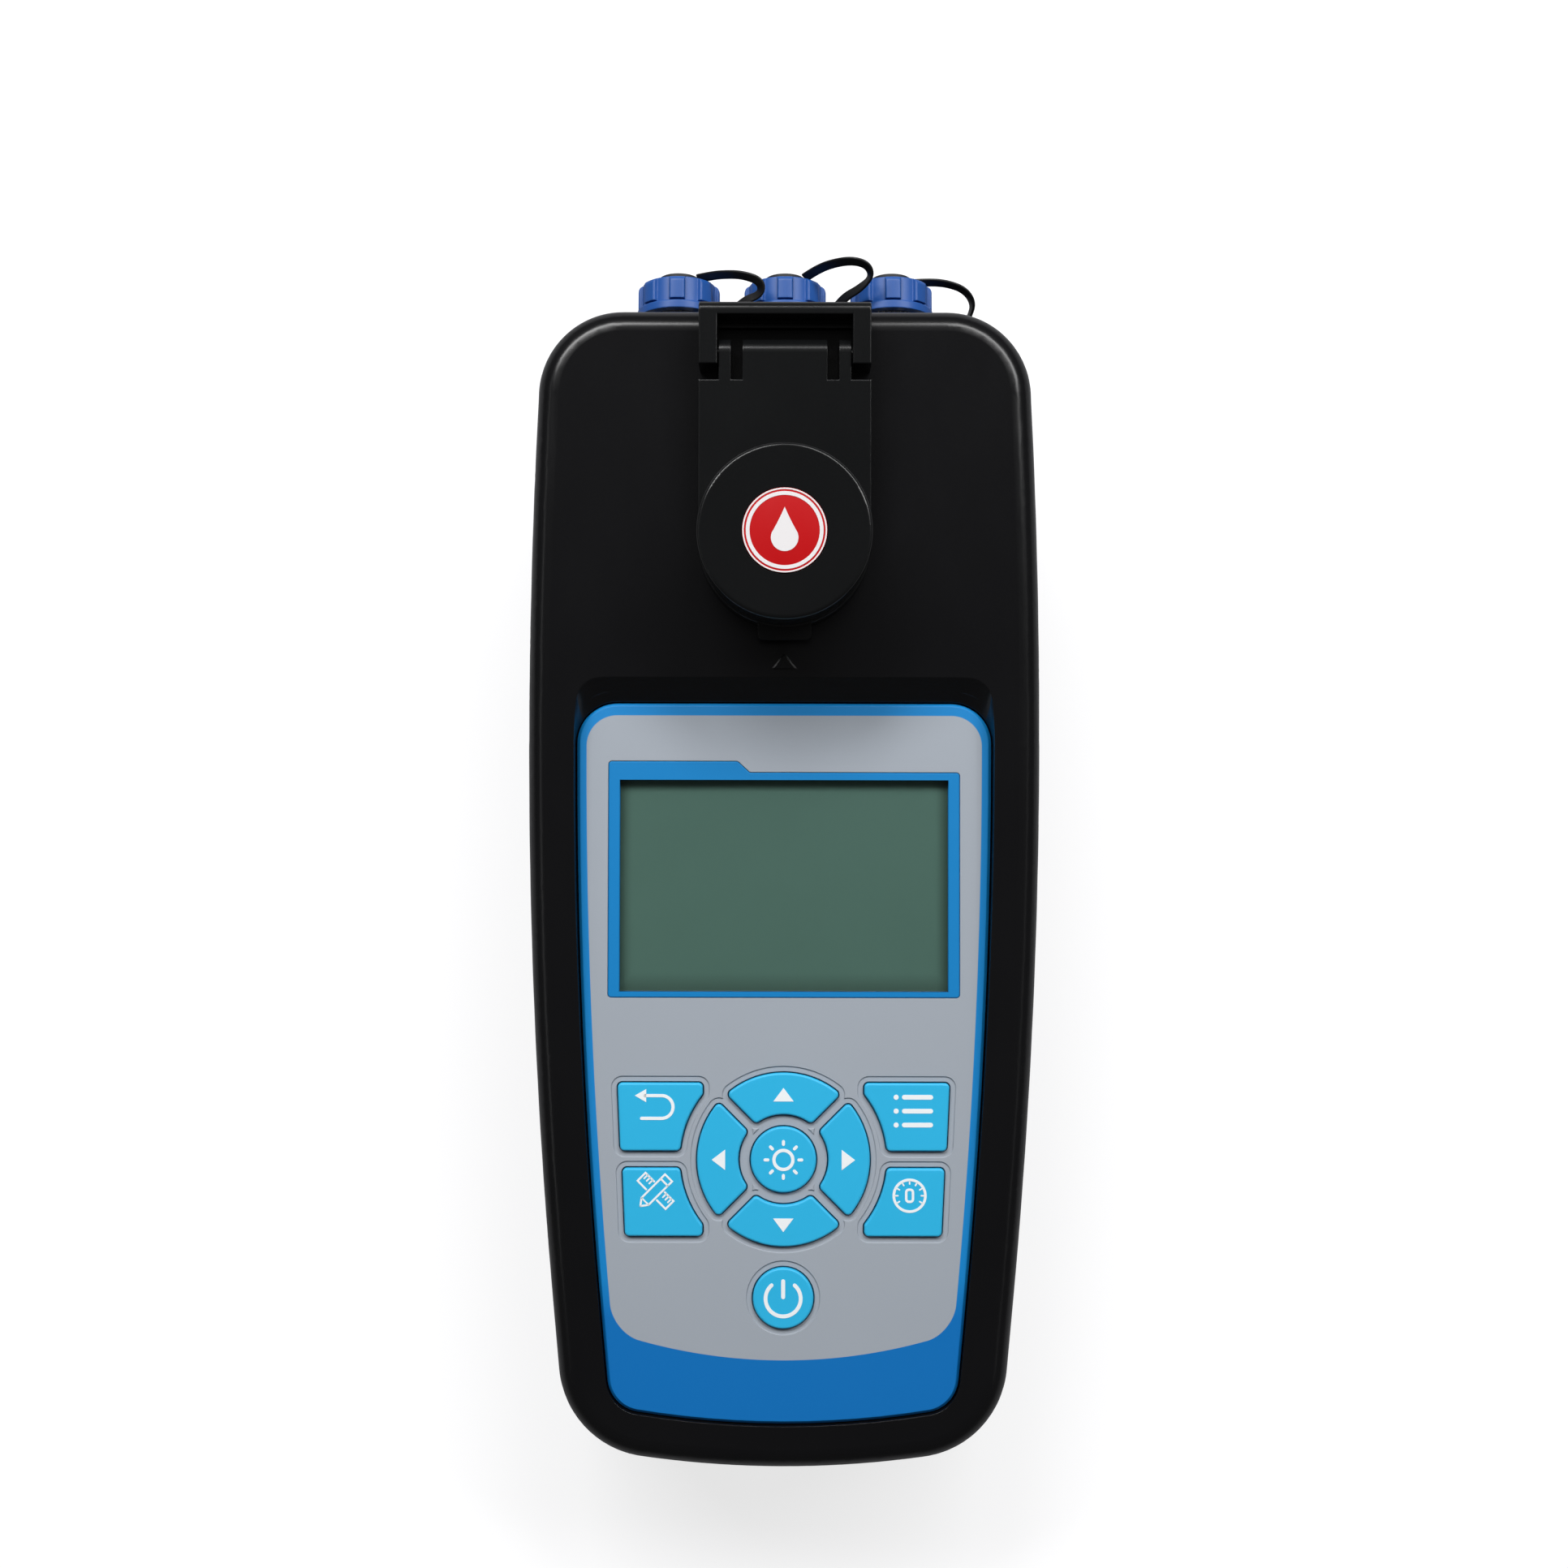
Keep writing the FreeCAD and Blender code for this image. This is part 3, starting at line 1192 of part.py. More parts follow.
def model():
    """All pieces by name, on a case whose middle is at the origin."""
    on_panel = panel_place()
    on_face = face_place()
    faces = key_faces()
    nodes = {
        "upper_case": upper_case(),
        "lower_case": lower_case(),
        "case_gasket": case_gasket(),
        "case_screws": case_screws(),
        "rubber_feet": rubber_feet(),
        "battery_cover": battery_cover(),
        "battery_cover_seal": battery_cover_seal(),
        "battery_cover_screws": battery_cover_screws(),
        "battery_cells": battery_cells(),
        "battery_contacts": battery_contacts(),
        "front_panel": placed(front_panel(faces), on_panel),
        "display_window": placed(display_window(), on_panel),
        "display_bezel": placed(glass_bezel(), on_panel),
        "display_glass": placed(display_glass(), on_panel),
        "keypad_mat": placed(keypad_mat(faces), on_panel),
        "main_board": placed(main_board(), on_panel),
        "board_screws": placed(board_screws(), on_panel),
        "sample_well": placed(sample_well(), on_face),
        "well_collar": placed(well_collar(), on_face),
        "light_source": placed(optic(180), on_face),
        "light_detector": placed(Part.makeCompound([optic(0), optic(-90)]), on_face),
        "hinge_bracket": hinge_bracket(),
        "cover_plate": placed(cover_plate(), on_face),
        "cover_knob": placed(cover_knob(), on_face),
        "cover_badge": placed(cover_badge(), on_face),
        "cover_seal": placed(cover_seal(), on_face),
        "socket_inserts": in_sockets(socket_insert()),
        "contact_pins": in_sockets(contact_pins()),
        "socket_nuts": in_sockets(socket_nut()),
        "socket_washers": in_sockets(ring(WASHER_OUTER, SOCKET_RADIUS, 0, WASHER_THICKNESS)),
    }
    for name, (face, spot) in faces.items():
        nodes[name] = placed(key(face), on_panel)
    for number, x in enumerate((-SOCKET_X, 0, SOCKET_X), 1):
        place = socket_place(x)
        nodes[f"socket_{number}"] = placed(socket(), place)
        nodes[f"dust_cap_{number}"] = placed(dust_cap(), place)
        nodes[f"cap_rivet_{number}"] = placed(cap_rivet(), place)
        nodes[f"strap_eye_{number}"] = placed(strap_eye(), place)
        nodes[f"strap_loop_{number}"] = placed(strap_loop(), place)
    for number, route in enumerate((STRAP_1_ROUTE, STRAP_2_ROUTE, STRAP_3_ROUTE), 1):
        nodes[f"strap_{number}"] = strap(route)
    return nodes


def main():
    """Write each piece, moved so that the whole object is centred over the origin."""
    os.makedirs("parts", exist_ok=True)
    centring = Placement(Vector(0, CASE_Y, 0), Rotation())
    for name, shape in model().items():
        piece = placed(shape, centring)
        solids = len(piece.Solids)
        print(name, "solids", solids, "volume", round(piece.Volume, 1), "valid", piece.isValid())
        piece.exportStep(f"parts/{name}.step")


main()
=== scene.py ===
"""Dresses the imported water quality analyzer: finishes, prints, soft straps, light and camera."""

import logging
from dataclasses import dataclass, field
from enum import Enum
from math import cos, pi, radians, sin

import bmesh
import bpy
from mathutils import Matrix, Vector

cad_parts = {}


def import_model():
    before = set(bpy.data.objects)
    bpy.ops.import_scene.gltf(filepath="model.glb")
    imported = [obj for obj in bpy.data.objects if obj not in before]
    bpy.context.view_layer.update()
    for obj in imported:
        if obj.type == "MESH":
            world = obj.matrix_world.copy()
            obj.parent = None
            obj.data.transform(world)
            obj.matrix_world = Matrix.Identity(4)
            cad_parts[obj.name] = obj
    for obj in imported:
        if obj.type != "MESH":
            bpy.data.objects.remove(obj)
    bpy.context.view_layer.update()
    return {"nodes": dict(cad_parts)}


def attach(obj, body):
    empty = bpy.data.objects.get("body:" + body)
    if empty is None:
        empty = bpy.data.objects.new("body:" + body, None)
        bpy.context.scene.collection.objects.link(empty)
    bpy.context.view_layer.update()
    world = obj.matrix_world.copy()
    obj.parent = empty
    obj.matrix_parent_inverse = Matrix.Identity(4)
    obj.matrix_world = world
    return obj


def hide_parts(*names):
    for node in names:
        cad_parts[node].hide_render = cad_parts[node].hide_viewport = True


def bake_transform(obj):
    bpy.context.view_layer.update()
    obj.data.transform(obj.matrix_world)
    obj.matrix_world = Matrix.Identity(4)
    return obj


LOG = logging.getLogger("analyzer")
MM = 0.001

# Sizes in mm that several pieces share
PRINT_GRAIN = 0.16
PRINT_EDGE = 0.08
INK_LIFT = 0.04

Point = tuple[float, float]
Spot = tuple[float, float, float]
Colour = tuple[float, float, float, float]


def tint(red: float, green: float, blue: float) -> Colour:
    """Linear colour from the usual 0 to 255 values.

    Args:
        red: red from 0 to 255.
        green: green from 0 to 255.
        blue: blue from 0 to 255.

    Returns:
        The colour as a shader wants it, with full alpha.
    """
    parts = [value / 255 for value in (red, green, blue)]
    linear = [p / 12.92 if p < 0.04045 else ((p + 0.055) / 1.055) ** 2.4 for p in parts]
    return (linear[0], linear[1], linear[2], 1.0)


class Plane(Enum):
    """Flat datum that pieces are drawn on, as (tilt in degrees, origin across the case in mm)."""

    FACE = (5.4, (0.0, -8.5, 50.0))
    PANEL = (4.02549, (0.0, -8.23599, 46.88514))

    def matrix(self) -> Matrix:
        """Place of the plane in the object's frame, in metres."""
        tilt, origin = self.value
        return Matrix.Translation(Vector(origin) * MM) @ Matrix.Rotation(radians(tilt), 4, "X")


class Signal:
    """Value that varies over a surface, with the arithmetic that adds its Math nodes."""

    def __init__(self, recipe: "Recipe", socket: bpy.types.NodeSocket) -> None:
        """Keeps the socket and the recipe that it belongs to."""
        self.recipe = recipe
        self.socket = socket

    def math(self, operation: str, *values: "Signal | float") -> "Signal":
        """Adds one Math node.

        Args:
            operation: name of the Math node's operation.
            values: its inputs in order.

        Returns:
            The node's result.
        """
        node = self.recipe.node("ShaderNodeMath", {"operation": operation}, dict(enumerate(values)))
        return self.recipe.out(node)

    def __add__(self, other: "Signal | float") -> "Signal":
        """Sum."""
        return self.math("ADD", self, other)

    def __radd__(self, other: float) -> "Signal":
        """Sum with a number first."""
        return self.math("ADD", other, self)

    def __sub__(self, other: "Signal | float") -> "Signal":
        """Difference."""
        return self.math("SUBTRACT", self, other)

    def __rsub__(self, other: float) -> "Signal":
        """Difference with a number first."""
        return self.math("SUBTRACT", other, self)

    def __mul__(self, other: "Signal | float") -> "Signal":
        """Product."""
        return self.math("MULTIPLY", self, other)

    def __rmul__(self, other: float) -> "Signal":
        """Product with a number first."""
        return self.math("MULTIPLY", other, self)

    def __truediv__(self, other: "Signal | float") -> "Signal":
        """Quotient."""
        return self.math("DIVIDE", self, other)

    def __neg__(self) -> "Signal":
        """Value with its sign turned."""
        return self.math("MULTIPLY", self, -1.0)

    def __abs__(self) -> "Signal":
        """Size without a sign."""
        return self.math("ABSOLUTE", self)

    def most(self, other: "Signal | float") -> "Signal":
        """Larger of two values."""
        return self.math("MAXIMUM", self, other)

    def least(self, other: "Signal | float") -> "Signal":
        """Smaller of two values."""
        return self.math("MINIMUM", self, other)

    def root(self) -> "Signal":
        """Square root."""
        return self.math("SQRT", self)

    def wrapped(self, step: float) -> "Signal":
        """Place within a repeat, from 0 to 1."""
        return self.math("FRACT", self / step)

    def inside(self, blur: float) -> "Signal":
        """Mask that is 1 where a distance is below zero, with a soft edge.

        Args:
            blur: width of the edge, in the distance's own unit.

        Returns:
            The mask from 0 to 1.
        """
        return (0.5 - self / blur).most(0.0).least(1.0)


class Recipe:
    """Node tree of one material, or of the sky."""

    def __init__(self, owner: "bpy.types.Material | bpy.types.World") -> None:
        """Empties the node tree of a new material or sky."""
        self.owner = owner
        owner.use_nodes = True
        self.tree = owner.node_tree
        self.tree.nodes.clear()

    @classmethod
    def named(cls, name: str) -> "Recipe":
        """Starts an empty material."""
        return cls(bpy.data.materials.new(name))

    def node(self, kind: str, settings: dict | None = None, inputs: dict | None = None) -> bpy.types.Node:
        """Adds any node.

        Args:
            kind: the node's type.
            settings: its own settings, which are set first.
            inputs: values or signals of its sockets, by name or number.

        Returns:
            The new node.
        """
        node = self.tree.nodes.new(kind)
        for key, value in (settings or {}).items():
            setattr(node, key, value)
        for key, value in (inputs or {}).items():
            if isinstance(value, Signal):
                self.tree.links.new(value.socket, node.inputs[key])
            else:
                node.inputs[key].default_value = value
        return node

    def out(self, node: bpy.types.Node, key: int | str = 0) -> Signal:
        """Output of a node as a signal."""
        return Signal(self, node.outputs[key])

    def place(self) -> Signal:
        """Place on the object at rest, in metres."""
        return self.out(self.node("ShaderNodeTexCoord"), "Object")

    def axes(self) -> tuple[Signal, Signal, Signal]:
        """Place on the object at rest along its three axes, in mm."""
        node = self.node("ShaderNodeSeparateXYZ", {}, {0: self.place()})
        return tuple(self.out(node, i) / MM for i in range(3))

    def on_plane(self, plane: Plane) -> tuple[Signal, Signal]:
        """Place across and along a plane, in mm from its origin."""
        tilt, origin = plane.value
        x, y, z = self.axes()
        return x, (y - origin[1]) * cos(radians(tilt)) + (z - origin[2]) * sin(radians(tilt))

    def noise(self, size: float, detail: float = 2.0, stretch: Spot = (1, 1, 1)) -> Signal:
        """Soft noise from 0 to 1.

        Args:
            size: size of its spots, in mm.
            detail: how many finer layers it has.
            stretch: how much the spots are squeezed along each axis.

        Returns:
            The noise.
        """
        place = self.place()
        if stretch != (1, 1, 1):
            squeeze = self.node("ShaderNodeVectorMath", {"operation": "MULTIPLY"}, {0: place, 1: stretch})
            place = self.out(squeeze)
        inputs = {"Vector": place, "Scale": 1 / (size * MM), "Detail": detail}
        return self.out(self.node("ShaderNodeTexNoise", {}, inputs), "Fac")

    def mix(self, mask: Signal | float, low: Signal | Colour, high: Signal | Colour) -> Signal:
        """Colour that goes from low to high with a mask."""
        node = self.node("ShaderNodeMix", {"data_type": "RGBA"}, {0: mask, 6: low, 7: high})
        return self.out(node, 2)

    def surface(self, rounding: float, relief: Signal, depth: float) -> Signal:
        """Normal with softened edges and a fine relief.

        Args:
            rounding: radius of the softened edges, in mm.
            relief: height from 0 to 1.
            depth: height of the relief, in mm.

        Returns:
            The normal.
        """
        soft = self.out(self.node("ShaderNodeBevel", {"samples": 6}, {"Radius": rounding * MM}))
        bump = self.node("ShaderNodeBump", {}, {"Distance": depth * MM, "Height": relief, "Normal": soft})
        return self.out(bump)

    def principled(self, **inputs: "Signal | float | Colour") -> bpy.types.Material:
        """Ends the material in one Principled shader.

        Args:
            inputs: its sockets, with underscores for spaces.

        Returns:
            The material.
        """
        named = {key.replace("_", " "): value for key, value in inputs.items()}
        shader = self.node("ShaderNodeBsdfPrincipled", {}, named)
        self.node("ShaderNodeOutputMaterial", {}, {"Surface": self.out(shader)})
        return self.owner


@dataclass(frozen=True)
class Moulded:
    """Moulded plastic or rubber with a fine grain, uneven gloss and faint handling marks."""

    name: str
    colour: Colour
    roughness: float = 0.4
    grain: float = 0.35
    depth: float = 0.006
    mottle: float = 0.12
    unevenness: float = 0.1
    rounding: float = 0.25
    specular: float = 0.5
    sheen: float = 0.0
    patch: float = 26.0
    mark: float = 7.0

    def material(self) -> bpy.types.Material:
        """Builds the material."""
        r = Recipe.named(self.name)
        pale = tuple(min(1.0, part * (1 + self.mottle) + 0.002) for part in self.colour[:3]) + (1.0,)
        deep = tuple(part * (1 - self.mottle) for part in self.colour[:3]) + (1.0,)
        broad = r.noise(self.patch, 3.0)
        handling = r.noise(self.mark, 4.0, (1.0, 0.35, 1.0))
        grain = r.noise(self.grain, 2.0)
        colour = r.mix(broad * 0.7 + grain * 0.3, deep, pale)
        rough = self.roughness + (handling - 0.5) * self.unevenness + (grain - 0.5) * 0.04
        return r.principled(
            Base_Color=colour,
            Roughness=rough,
            Specular_IOR_Level=self.specular,
            Sheen_Weight=self.sheen,
            Normal=r.surface(self.rounding, grain, self.depth),
        )


@dataclass(frozen=True)
class Metal:
    """Turned or pressed metal with fine tool marks."""

    name: str
    colour: Colour
    roughness: float = 0.28
    marks: float = 0.12
    stains: float = 3.0
    rounding: float = 0.08

    def material(self) -> bpy.types.Material:
        """Builds the material."""
        r = Recipe.named(self.name)
        dull = tuple(part * 0.78 for part in self.colour[:3]) + (1.0,)
        lines = r.noise(self.marks, 3.0, (1.0, 0.12, 1.0))
        stain = r.noise(self.stains, 4.0)
        return r.principled(
            Base_Color=r.mix(stain, self.colour, dull),
            Metallic=1.0,
            Roughness=self.roughness + (stain - 0.5) * 0.2 + (lines - 0.5) * 0.1,
            Normal=r.surface(self.rounding, lines, 0.003),
        )


@dataclass(frozen=True)
class PanelPrint:
    """Matt printed panel: a grey field inside a blue border, cut off by a bow near the front."""

    name: str = "panel_print"
    border: Colour = tint(10, 124, 192)
    border_pale: Colour = tint(16, 130, 198)
    # band: darker blue towards the front, partly the print's own tone and partly painted shade of the light
    # falling off towards the front
    band: Colour = tint(2, 108, 181)
    band_depth: float = 12.0
    grey: Colour = tint(160, 167, 176)
    grey_deep: Colour = tint(153, 160, 169)
    half: float = 41.0
    widest: float = 28.4
    side_radius: float = 1200.0
    inset: float = 1.9
    top: float = 33.95
    top_corner: float = 6.0
    bow_front: float = -92.8
    bow_radius: float = 105.6
    bow_corner: float = 5.0

    @staticmethod
    def _corner(first: Signal, second: Signal, radius: float) -> Signal:
        """Distance to two edges that meet in a round corner."""
        a = first + radius
        b = second + radius
        square = a.most(0.0) * a.most(0.0) + b.most(0.0) * b.most(0.0)
        return a.most(b).least(0.0) + square.root() - radius

    def material(self) -> bpy.types.Material:
        """Builds the material."""
        r = Recipe.named(self.name)
        x, y = r.on_plane(Plane.PANEL)
        across = abs(x) + (self.side_radius - self.half)
        along = y - self.widest
        side = (across * across + along * along).root() - (self.side_radius - self.inset)
        bow_y = y - (self.bow_front + self.bow_radius)
        bow = (x * x + bow_y * bow_y).root() - self.bow_radius
        upper = self._corner(side, y - self.top, self.top_corner)
        field_edge = upper.most(self._corner(side, bow, self.bow_corner))
        grain = r.noise(PRINT_GRAIN, 2.0)
        broad = r.noise(30.0, 2.0)
        uneven = broad * 0.5 + grain * 0.5
        grey = r.mix(uneven, self.grey_deep, self.grey)
        edge = r.mix(uneven, self.border, self.border_pale)
        # the blue darkens towards the front over a soft 8 mm edge: partly print, partly painted shade
        blue = r.mix((y - self.bow_front - self.band_depth).inside(8.0), edge, self.band)
        return r.principled(
            Base_Color=r.mix(field_edge.inside(PRINT_EDGE), blue, grey),
            Roughness=0.46 + (grain - 0.5) * 0.12 + (broad - 0.5) * 0.06,
            Specular_IOR_Level=0.45,
            Normal=r.surface(0.22, grain, 0.003),
        )


@dataclass(frozen=True)
class WindowPrint:
    """Clear window with a blue frame printed round the view."""

    name: str = "window_print"
    frame: Colour = tint(11, 120, 185)
    frame_pale: Colour = tint(16, 126, 191)
    glass: Colour = tint(20, 26, 24)
    clearness: float = 0.93
    half: float = 32.5
    top: float = 21.2
    bottom: float = -20.58

    def material(self) -> bpy.types.Material:
        """Builds the material."""
        r = Recipe.named(self.name)
        x, y = r.on_plane(Plane.PANEL)
        view = (abs(x) - self.half).most(y - self.top).most(self.bottom - y)
        clear = view.inside(PRINT_EDGE)
        grain = r.noise(PRINT_GRAIN, 2.0)
        smear = r.noise(9.0, 3.0)
        return r.principled(
            Base_Color=r.mix(clear, r.mix(grain, self.frame, self.frame_pale), self.glass),
            Roughness=0.42 - clear * 0.3 + (smear - 0.5) * 0.05,
            Alpha=1.0 - clear * self.clearness,
            Specular_IOR_Level=0.4,
            Normal=r.surface(0.1, grain, 0.002),
        )


@dataclass(frozen=True)
class LiquidCrystal:
    """Reflective display with faint dots, and painted shade that darkens it towards its edges, where the
    window's frame shades it.
    """

    name: str = "liquid_crystal"
    pale: Colour = tint(79, 112, 101)
    # colour of the display in the painted shade at its edges
    shaded_colour: Colour = tint(60, 86, 76)
    gaps: Colour = tint(70, 99, 88)
    pitch: float = 0.36
    half: float = 33.2
    top: float = 24.5
    bottom: float = -20.2
    painted_shade_width: float = 3.2

    def material(self) -> bpy.types.Material:
        """Builds the material."""
        r = Recipe.named(self.name)
        x, y = r.on_plane(Plane.PANEL)
        # painted shade: the display darkens towards the window's edges, where the frame over it shades it
        inward = (self.half - abs(x)).least(self.top - y).least(y - self.bottom)
        painted_shade = (inward / self.painted_shade_width).most(0.0).least(1.0)
        dots = abs(x.wrapped(self.pitch) - 0.5)
        rows = abs(y.wrapped(self.pitch) - 0.5)
        grid = (dots.most(rows) * 2.0 - 0.86).most(0.0) * 1.4
        cloud = r.noise(18.0, 2.0)
        base = r.mix(painted_shade * 0.85 + cloud * 0.15, self.shaded_colour, self.pale)
        return r.principled(
            Base_Color=r.mix(grid, base, self.gaps),
            Roughness=0.5 + (cloud - 0.5) * 0.1,
            Specular_IOR_Level=0.3,
        )


@dataclass(frozen=True)
class CircuitBoard:
    """Lacquered circuit board with fine tracks."""

    name: str = "circuit_board"
    lacquer: Colour = tint(14, 78, 46)
    track: Colour = tint(40, 120, 66)
    pitch: float = 1.27
    half_width: float = 0.16

    def material(self) -> bpy.types.Material:
        """Builds the material."""
        r = Recipe.named(self.name)
        x, _ = r.on_plane(Plane.PANEL)
        bend = r.noise(14.0, 0.0) * 9.0
        tracks = (x + bend).wrapped(self.pitch) - 0.5
        line = (abs(tracks) - self.half_width).inside(0.06)
        grain = r.noise(0.3, 2.0)
        return r.principled(
            Base_Color=r.mix(line, self.lacquer, self.track),
            Roughness=0.3 + grain * 0.15,
            Coat_Weight=0.4,
            Normal=r.surface(0.1, line, 0.02),
        )


@dataclass(frozen=True)
class CellWrap:
    """Plain two-tone wrap of a cell, with bare metal at its ends."""

    name: str = "cell_wrap"
    copper: Colour = tint(176, 118, 62)
    black: Colour = tint(40, 42, 46)
    bare: Colour = tint(178, 180, 184)
    middle: float = -48.5
    sleeve_half: float = 23.6
    band_half: float = 15.0

    def material(self) -> bpy.types.Material:
        """Builds the material."""
        r = Recipe.named(self.name)
        _, y, _ = r.axes()
        reach = abs(y - self.middle)
        sleeve = (reach - self.sleeve_half).inside(0.1)
        band = (reach - self.band_half).inside(0.1)
        smear = r.noise(4.0, 3.0)
        return r.principled(
            Base_Color=r.mix(sleeve, self.bare, r.mix(band, self.copper, self.black)),
            Metallic=1.0 - sleeve * 0.7,
            Roughness=0.3 + smear * 0.15,
            Normal=r.surface(0.3, smear, 0.01),
        )


@dataclass(frozen=True)
class Ground:
    """Pale floor that the camera sees as white, apart from the object's shadow."""

    name: str = "ground"
    cloth: Colour = tint(150, 150, 152)
    glow: float = 0.75
    near: float = 250.0
    spread: float = 500.0

    def material(self) -> bpy.types.Material:
        """Builds the material."""
        r = Recipe.named(self.name)
        seen = r.out(r.node("ShaderNodeLightPath"), "Is Camera Ray")
        x, y, _ = r.axes()
        reach = (x * x + y * y).root()
        far = ((reach - self.near) / self.spread).most(0.0).least(1.0)
        cloth = r.node("ShaderNodeBsdfDiffuse", {}, {"Color": self.cloth})
        glow = r.node("ShaderNodeEmission", {}, {"Strength": seen * (far * (1.0 - self.glow) + self.glow)})
        both = r.node("ShaderNodeAddShader", {}, {0: r.out(cloth), 1: r.out(glow)})
        r.node("ShaderNodeOutputMaterial", {}, {"Surface": r.out(both)})
        return r.owner


GLOSS = {"grain": 0.3, "depth": 0.0006, "unevenness": 0.05, "specular": 0.36}
BLACK_CASE = Moulded("case_black", tint(9, 9, 11), 0.23, rounding=0.3, **GLOSS)
BLACK_COVER = Moulded("cover_black", tint(10, 11, 12), 0.22, rounding=0.2, **GLOSS)
KEY_BLUE = Moulded("key_blue", tint(44, 176, 222), 0.42, 0.2, 0.003, mottle=0.03, specular=0.4, rounding=0.3)
CAP_BLUE = Moulded("cap_blue", tint(28, 78, 150), 0.4, 0.3, 0.004, mottle=0.05, specular=0.4, rounding=0.35)
STRAP_RUBBER = Moulded("strap_rubber", tint(14, 14, 15), 0.42, 0.25, 0.004, specular=0.4, rounding=0.12)
BLACK_RUBBER = Moulded("black_rubber", tint(24, 24, 26), 0.6, 0.25, 0.01, sheen=0.1)
GREY_RUBBER = Moulded("grey_rubber", tint(92, 96, 100), 0.62, 0.25, 0.01)
MAT_RUBBER = Moulded("mat_rubber", tint(34, 40, 46), 0.55, 0.25, 0.008)
INSULATOR = Moulded("insulator", tint(30, 31, 34), 0.4)
WELL_BLACK = Moulded("well_black", tint(14, 14, 15), 0.7, 0.3, 0.012)
OPTICS = Moulded("optics", tint(28, 30, 38), 0.3)
WHITE_INK = Moulded("white_ink", tint(236, 240, 242), 0.5, 0.15, 0.001, mottle=0.02, rounding=0.03)
BADGE_RED = Moulded("badge_red", tint(180, 8, 14), 0.34, 0.3, 0.001, mottle=0.04, specular=0.3)
BADGE_WHITE = Moulded("badge_white", tint(222, 219, 220), 0.36, 0.3, 0.001, mottle=0.02, rounding=0.03)
STEEL = Metal("steel", tint(188, 190, 194), 0.3)
NICKEL = Metal("nickel", tint(176, 174, 168), 0.26)
BRASS = Metal("brass", tint(206, 170, 96), 0.26)
TINPLATE = Metal("tinplate", tint(168, 170, 172), 0.36)

DRESSED = (
    (BLACK_CASE, ("upper_case", "lower_case", "battery_cover")),
    (BLACK_COVER, ("hinge_bracket", "cover_plate", "cover_knob", "well_collar")),
    (GREY_RUBBER, ("case_gasket", "battery_cover_seal", "cover_seal", "socket_washers")),
    (BLACK_RUBBER, ("rubber_feet", "strap_eye_*", "strap_loop_*")),
    (PanelPrint(), ("front_panel",)),
    (WindowPrint(), ("display_window",)),
    (LiquidCrystal(), ("display_glass",)),
    (TINPLATE, ("display_bezel", "battery_contacts")),
    (MAT_RUBBER, ("keypad_mat",)),
    (CircuitBoard(), ("main_board",)),
    (STEEL, ("case_screws", "battery_cover_screws", "board_screws", "cap_rivet_*")),
    (NICKEL, ("socket_1", "socket_2", "socket_3", "socket_nuts")),
    (BRASS, ("contact_pins",)),
    (CellWrap(), ("battery_cells",)),
    (INSULATOR, ("socket_inserts",)),
    (WELL_BLACK, ("sample_well",)),
    (OPTICS, ("light_source", "light_detector")),
    (CAP_BLUE, ("dust_cap_*",)),
    (KEY_BLUE, ("key_*",)),
    (BADGE_RED, ("cover_badge",)),
    (STRAP_RUBBER, ("strap_1", "strap_2", "strap_3")),
)


def link(obj: bpy.types.Object) -> bpy.types.Object:
    """Adds an object to the scene and returns it."""
    bpy.context.scene.collection.objects.link(obj)
    return obj


def dress(obj: bpy.types.Object, material: bpy.types.Material) -> None:
    """Gives every slot of an object one material."""
    if not obj.material_slots:
        obj.data.materials.append(material)
    for slot in obj.material_slots:
        slot.material = material


@dataclass(frozen=True)
class SoftBox:
    """Rectangular lamp, placed by its compass angle from the rear and its angle above the floor."""

    name: str
    compass: float
    height: float
    distance: float
    width: float
    depth: float
    power: float
    glossy: bool = True

    def build(self) -> None:
        """Hangs the lamp and turns it towards the object."""
        data = bpy.data.lights.new(self.name, "AREA")
        data.shape = "RECTANGLE"
        data.size, data.size_y = self.width, self.depth
        data.energy = self.power
        lamp = link(bpy.data.objects.new(self.name, data))
        lamp.visible_camera = False
        lamp.visible_glossy = self.glossy
        a, h = radians(self.compass), radians(self.height)
        place = Vector((sin(a) * cos(h), cos(a) * cos(h), sin(h))) * self.distance
        aim = Vector((0.0, 0.0, 0.03)) - place
        lamp.matrix_world = Matrix.Translation(place) @ aim.to_track_quat("-Z", "Y").to_matrix().to_4x4()


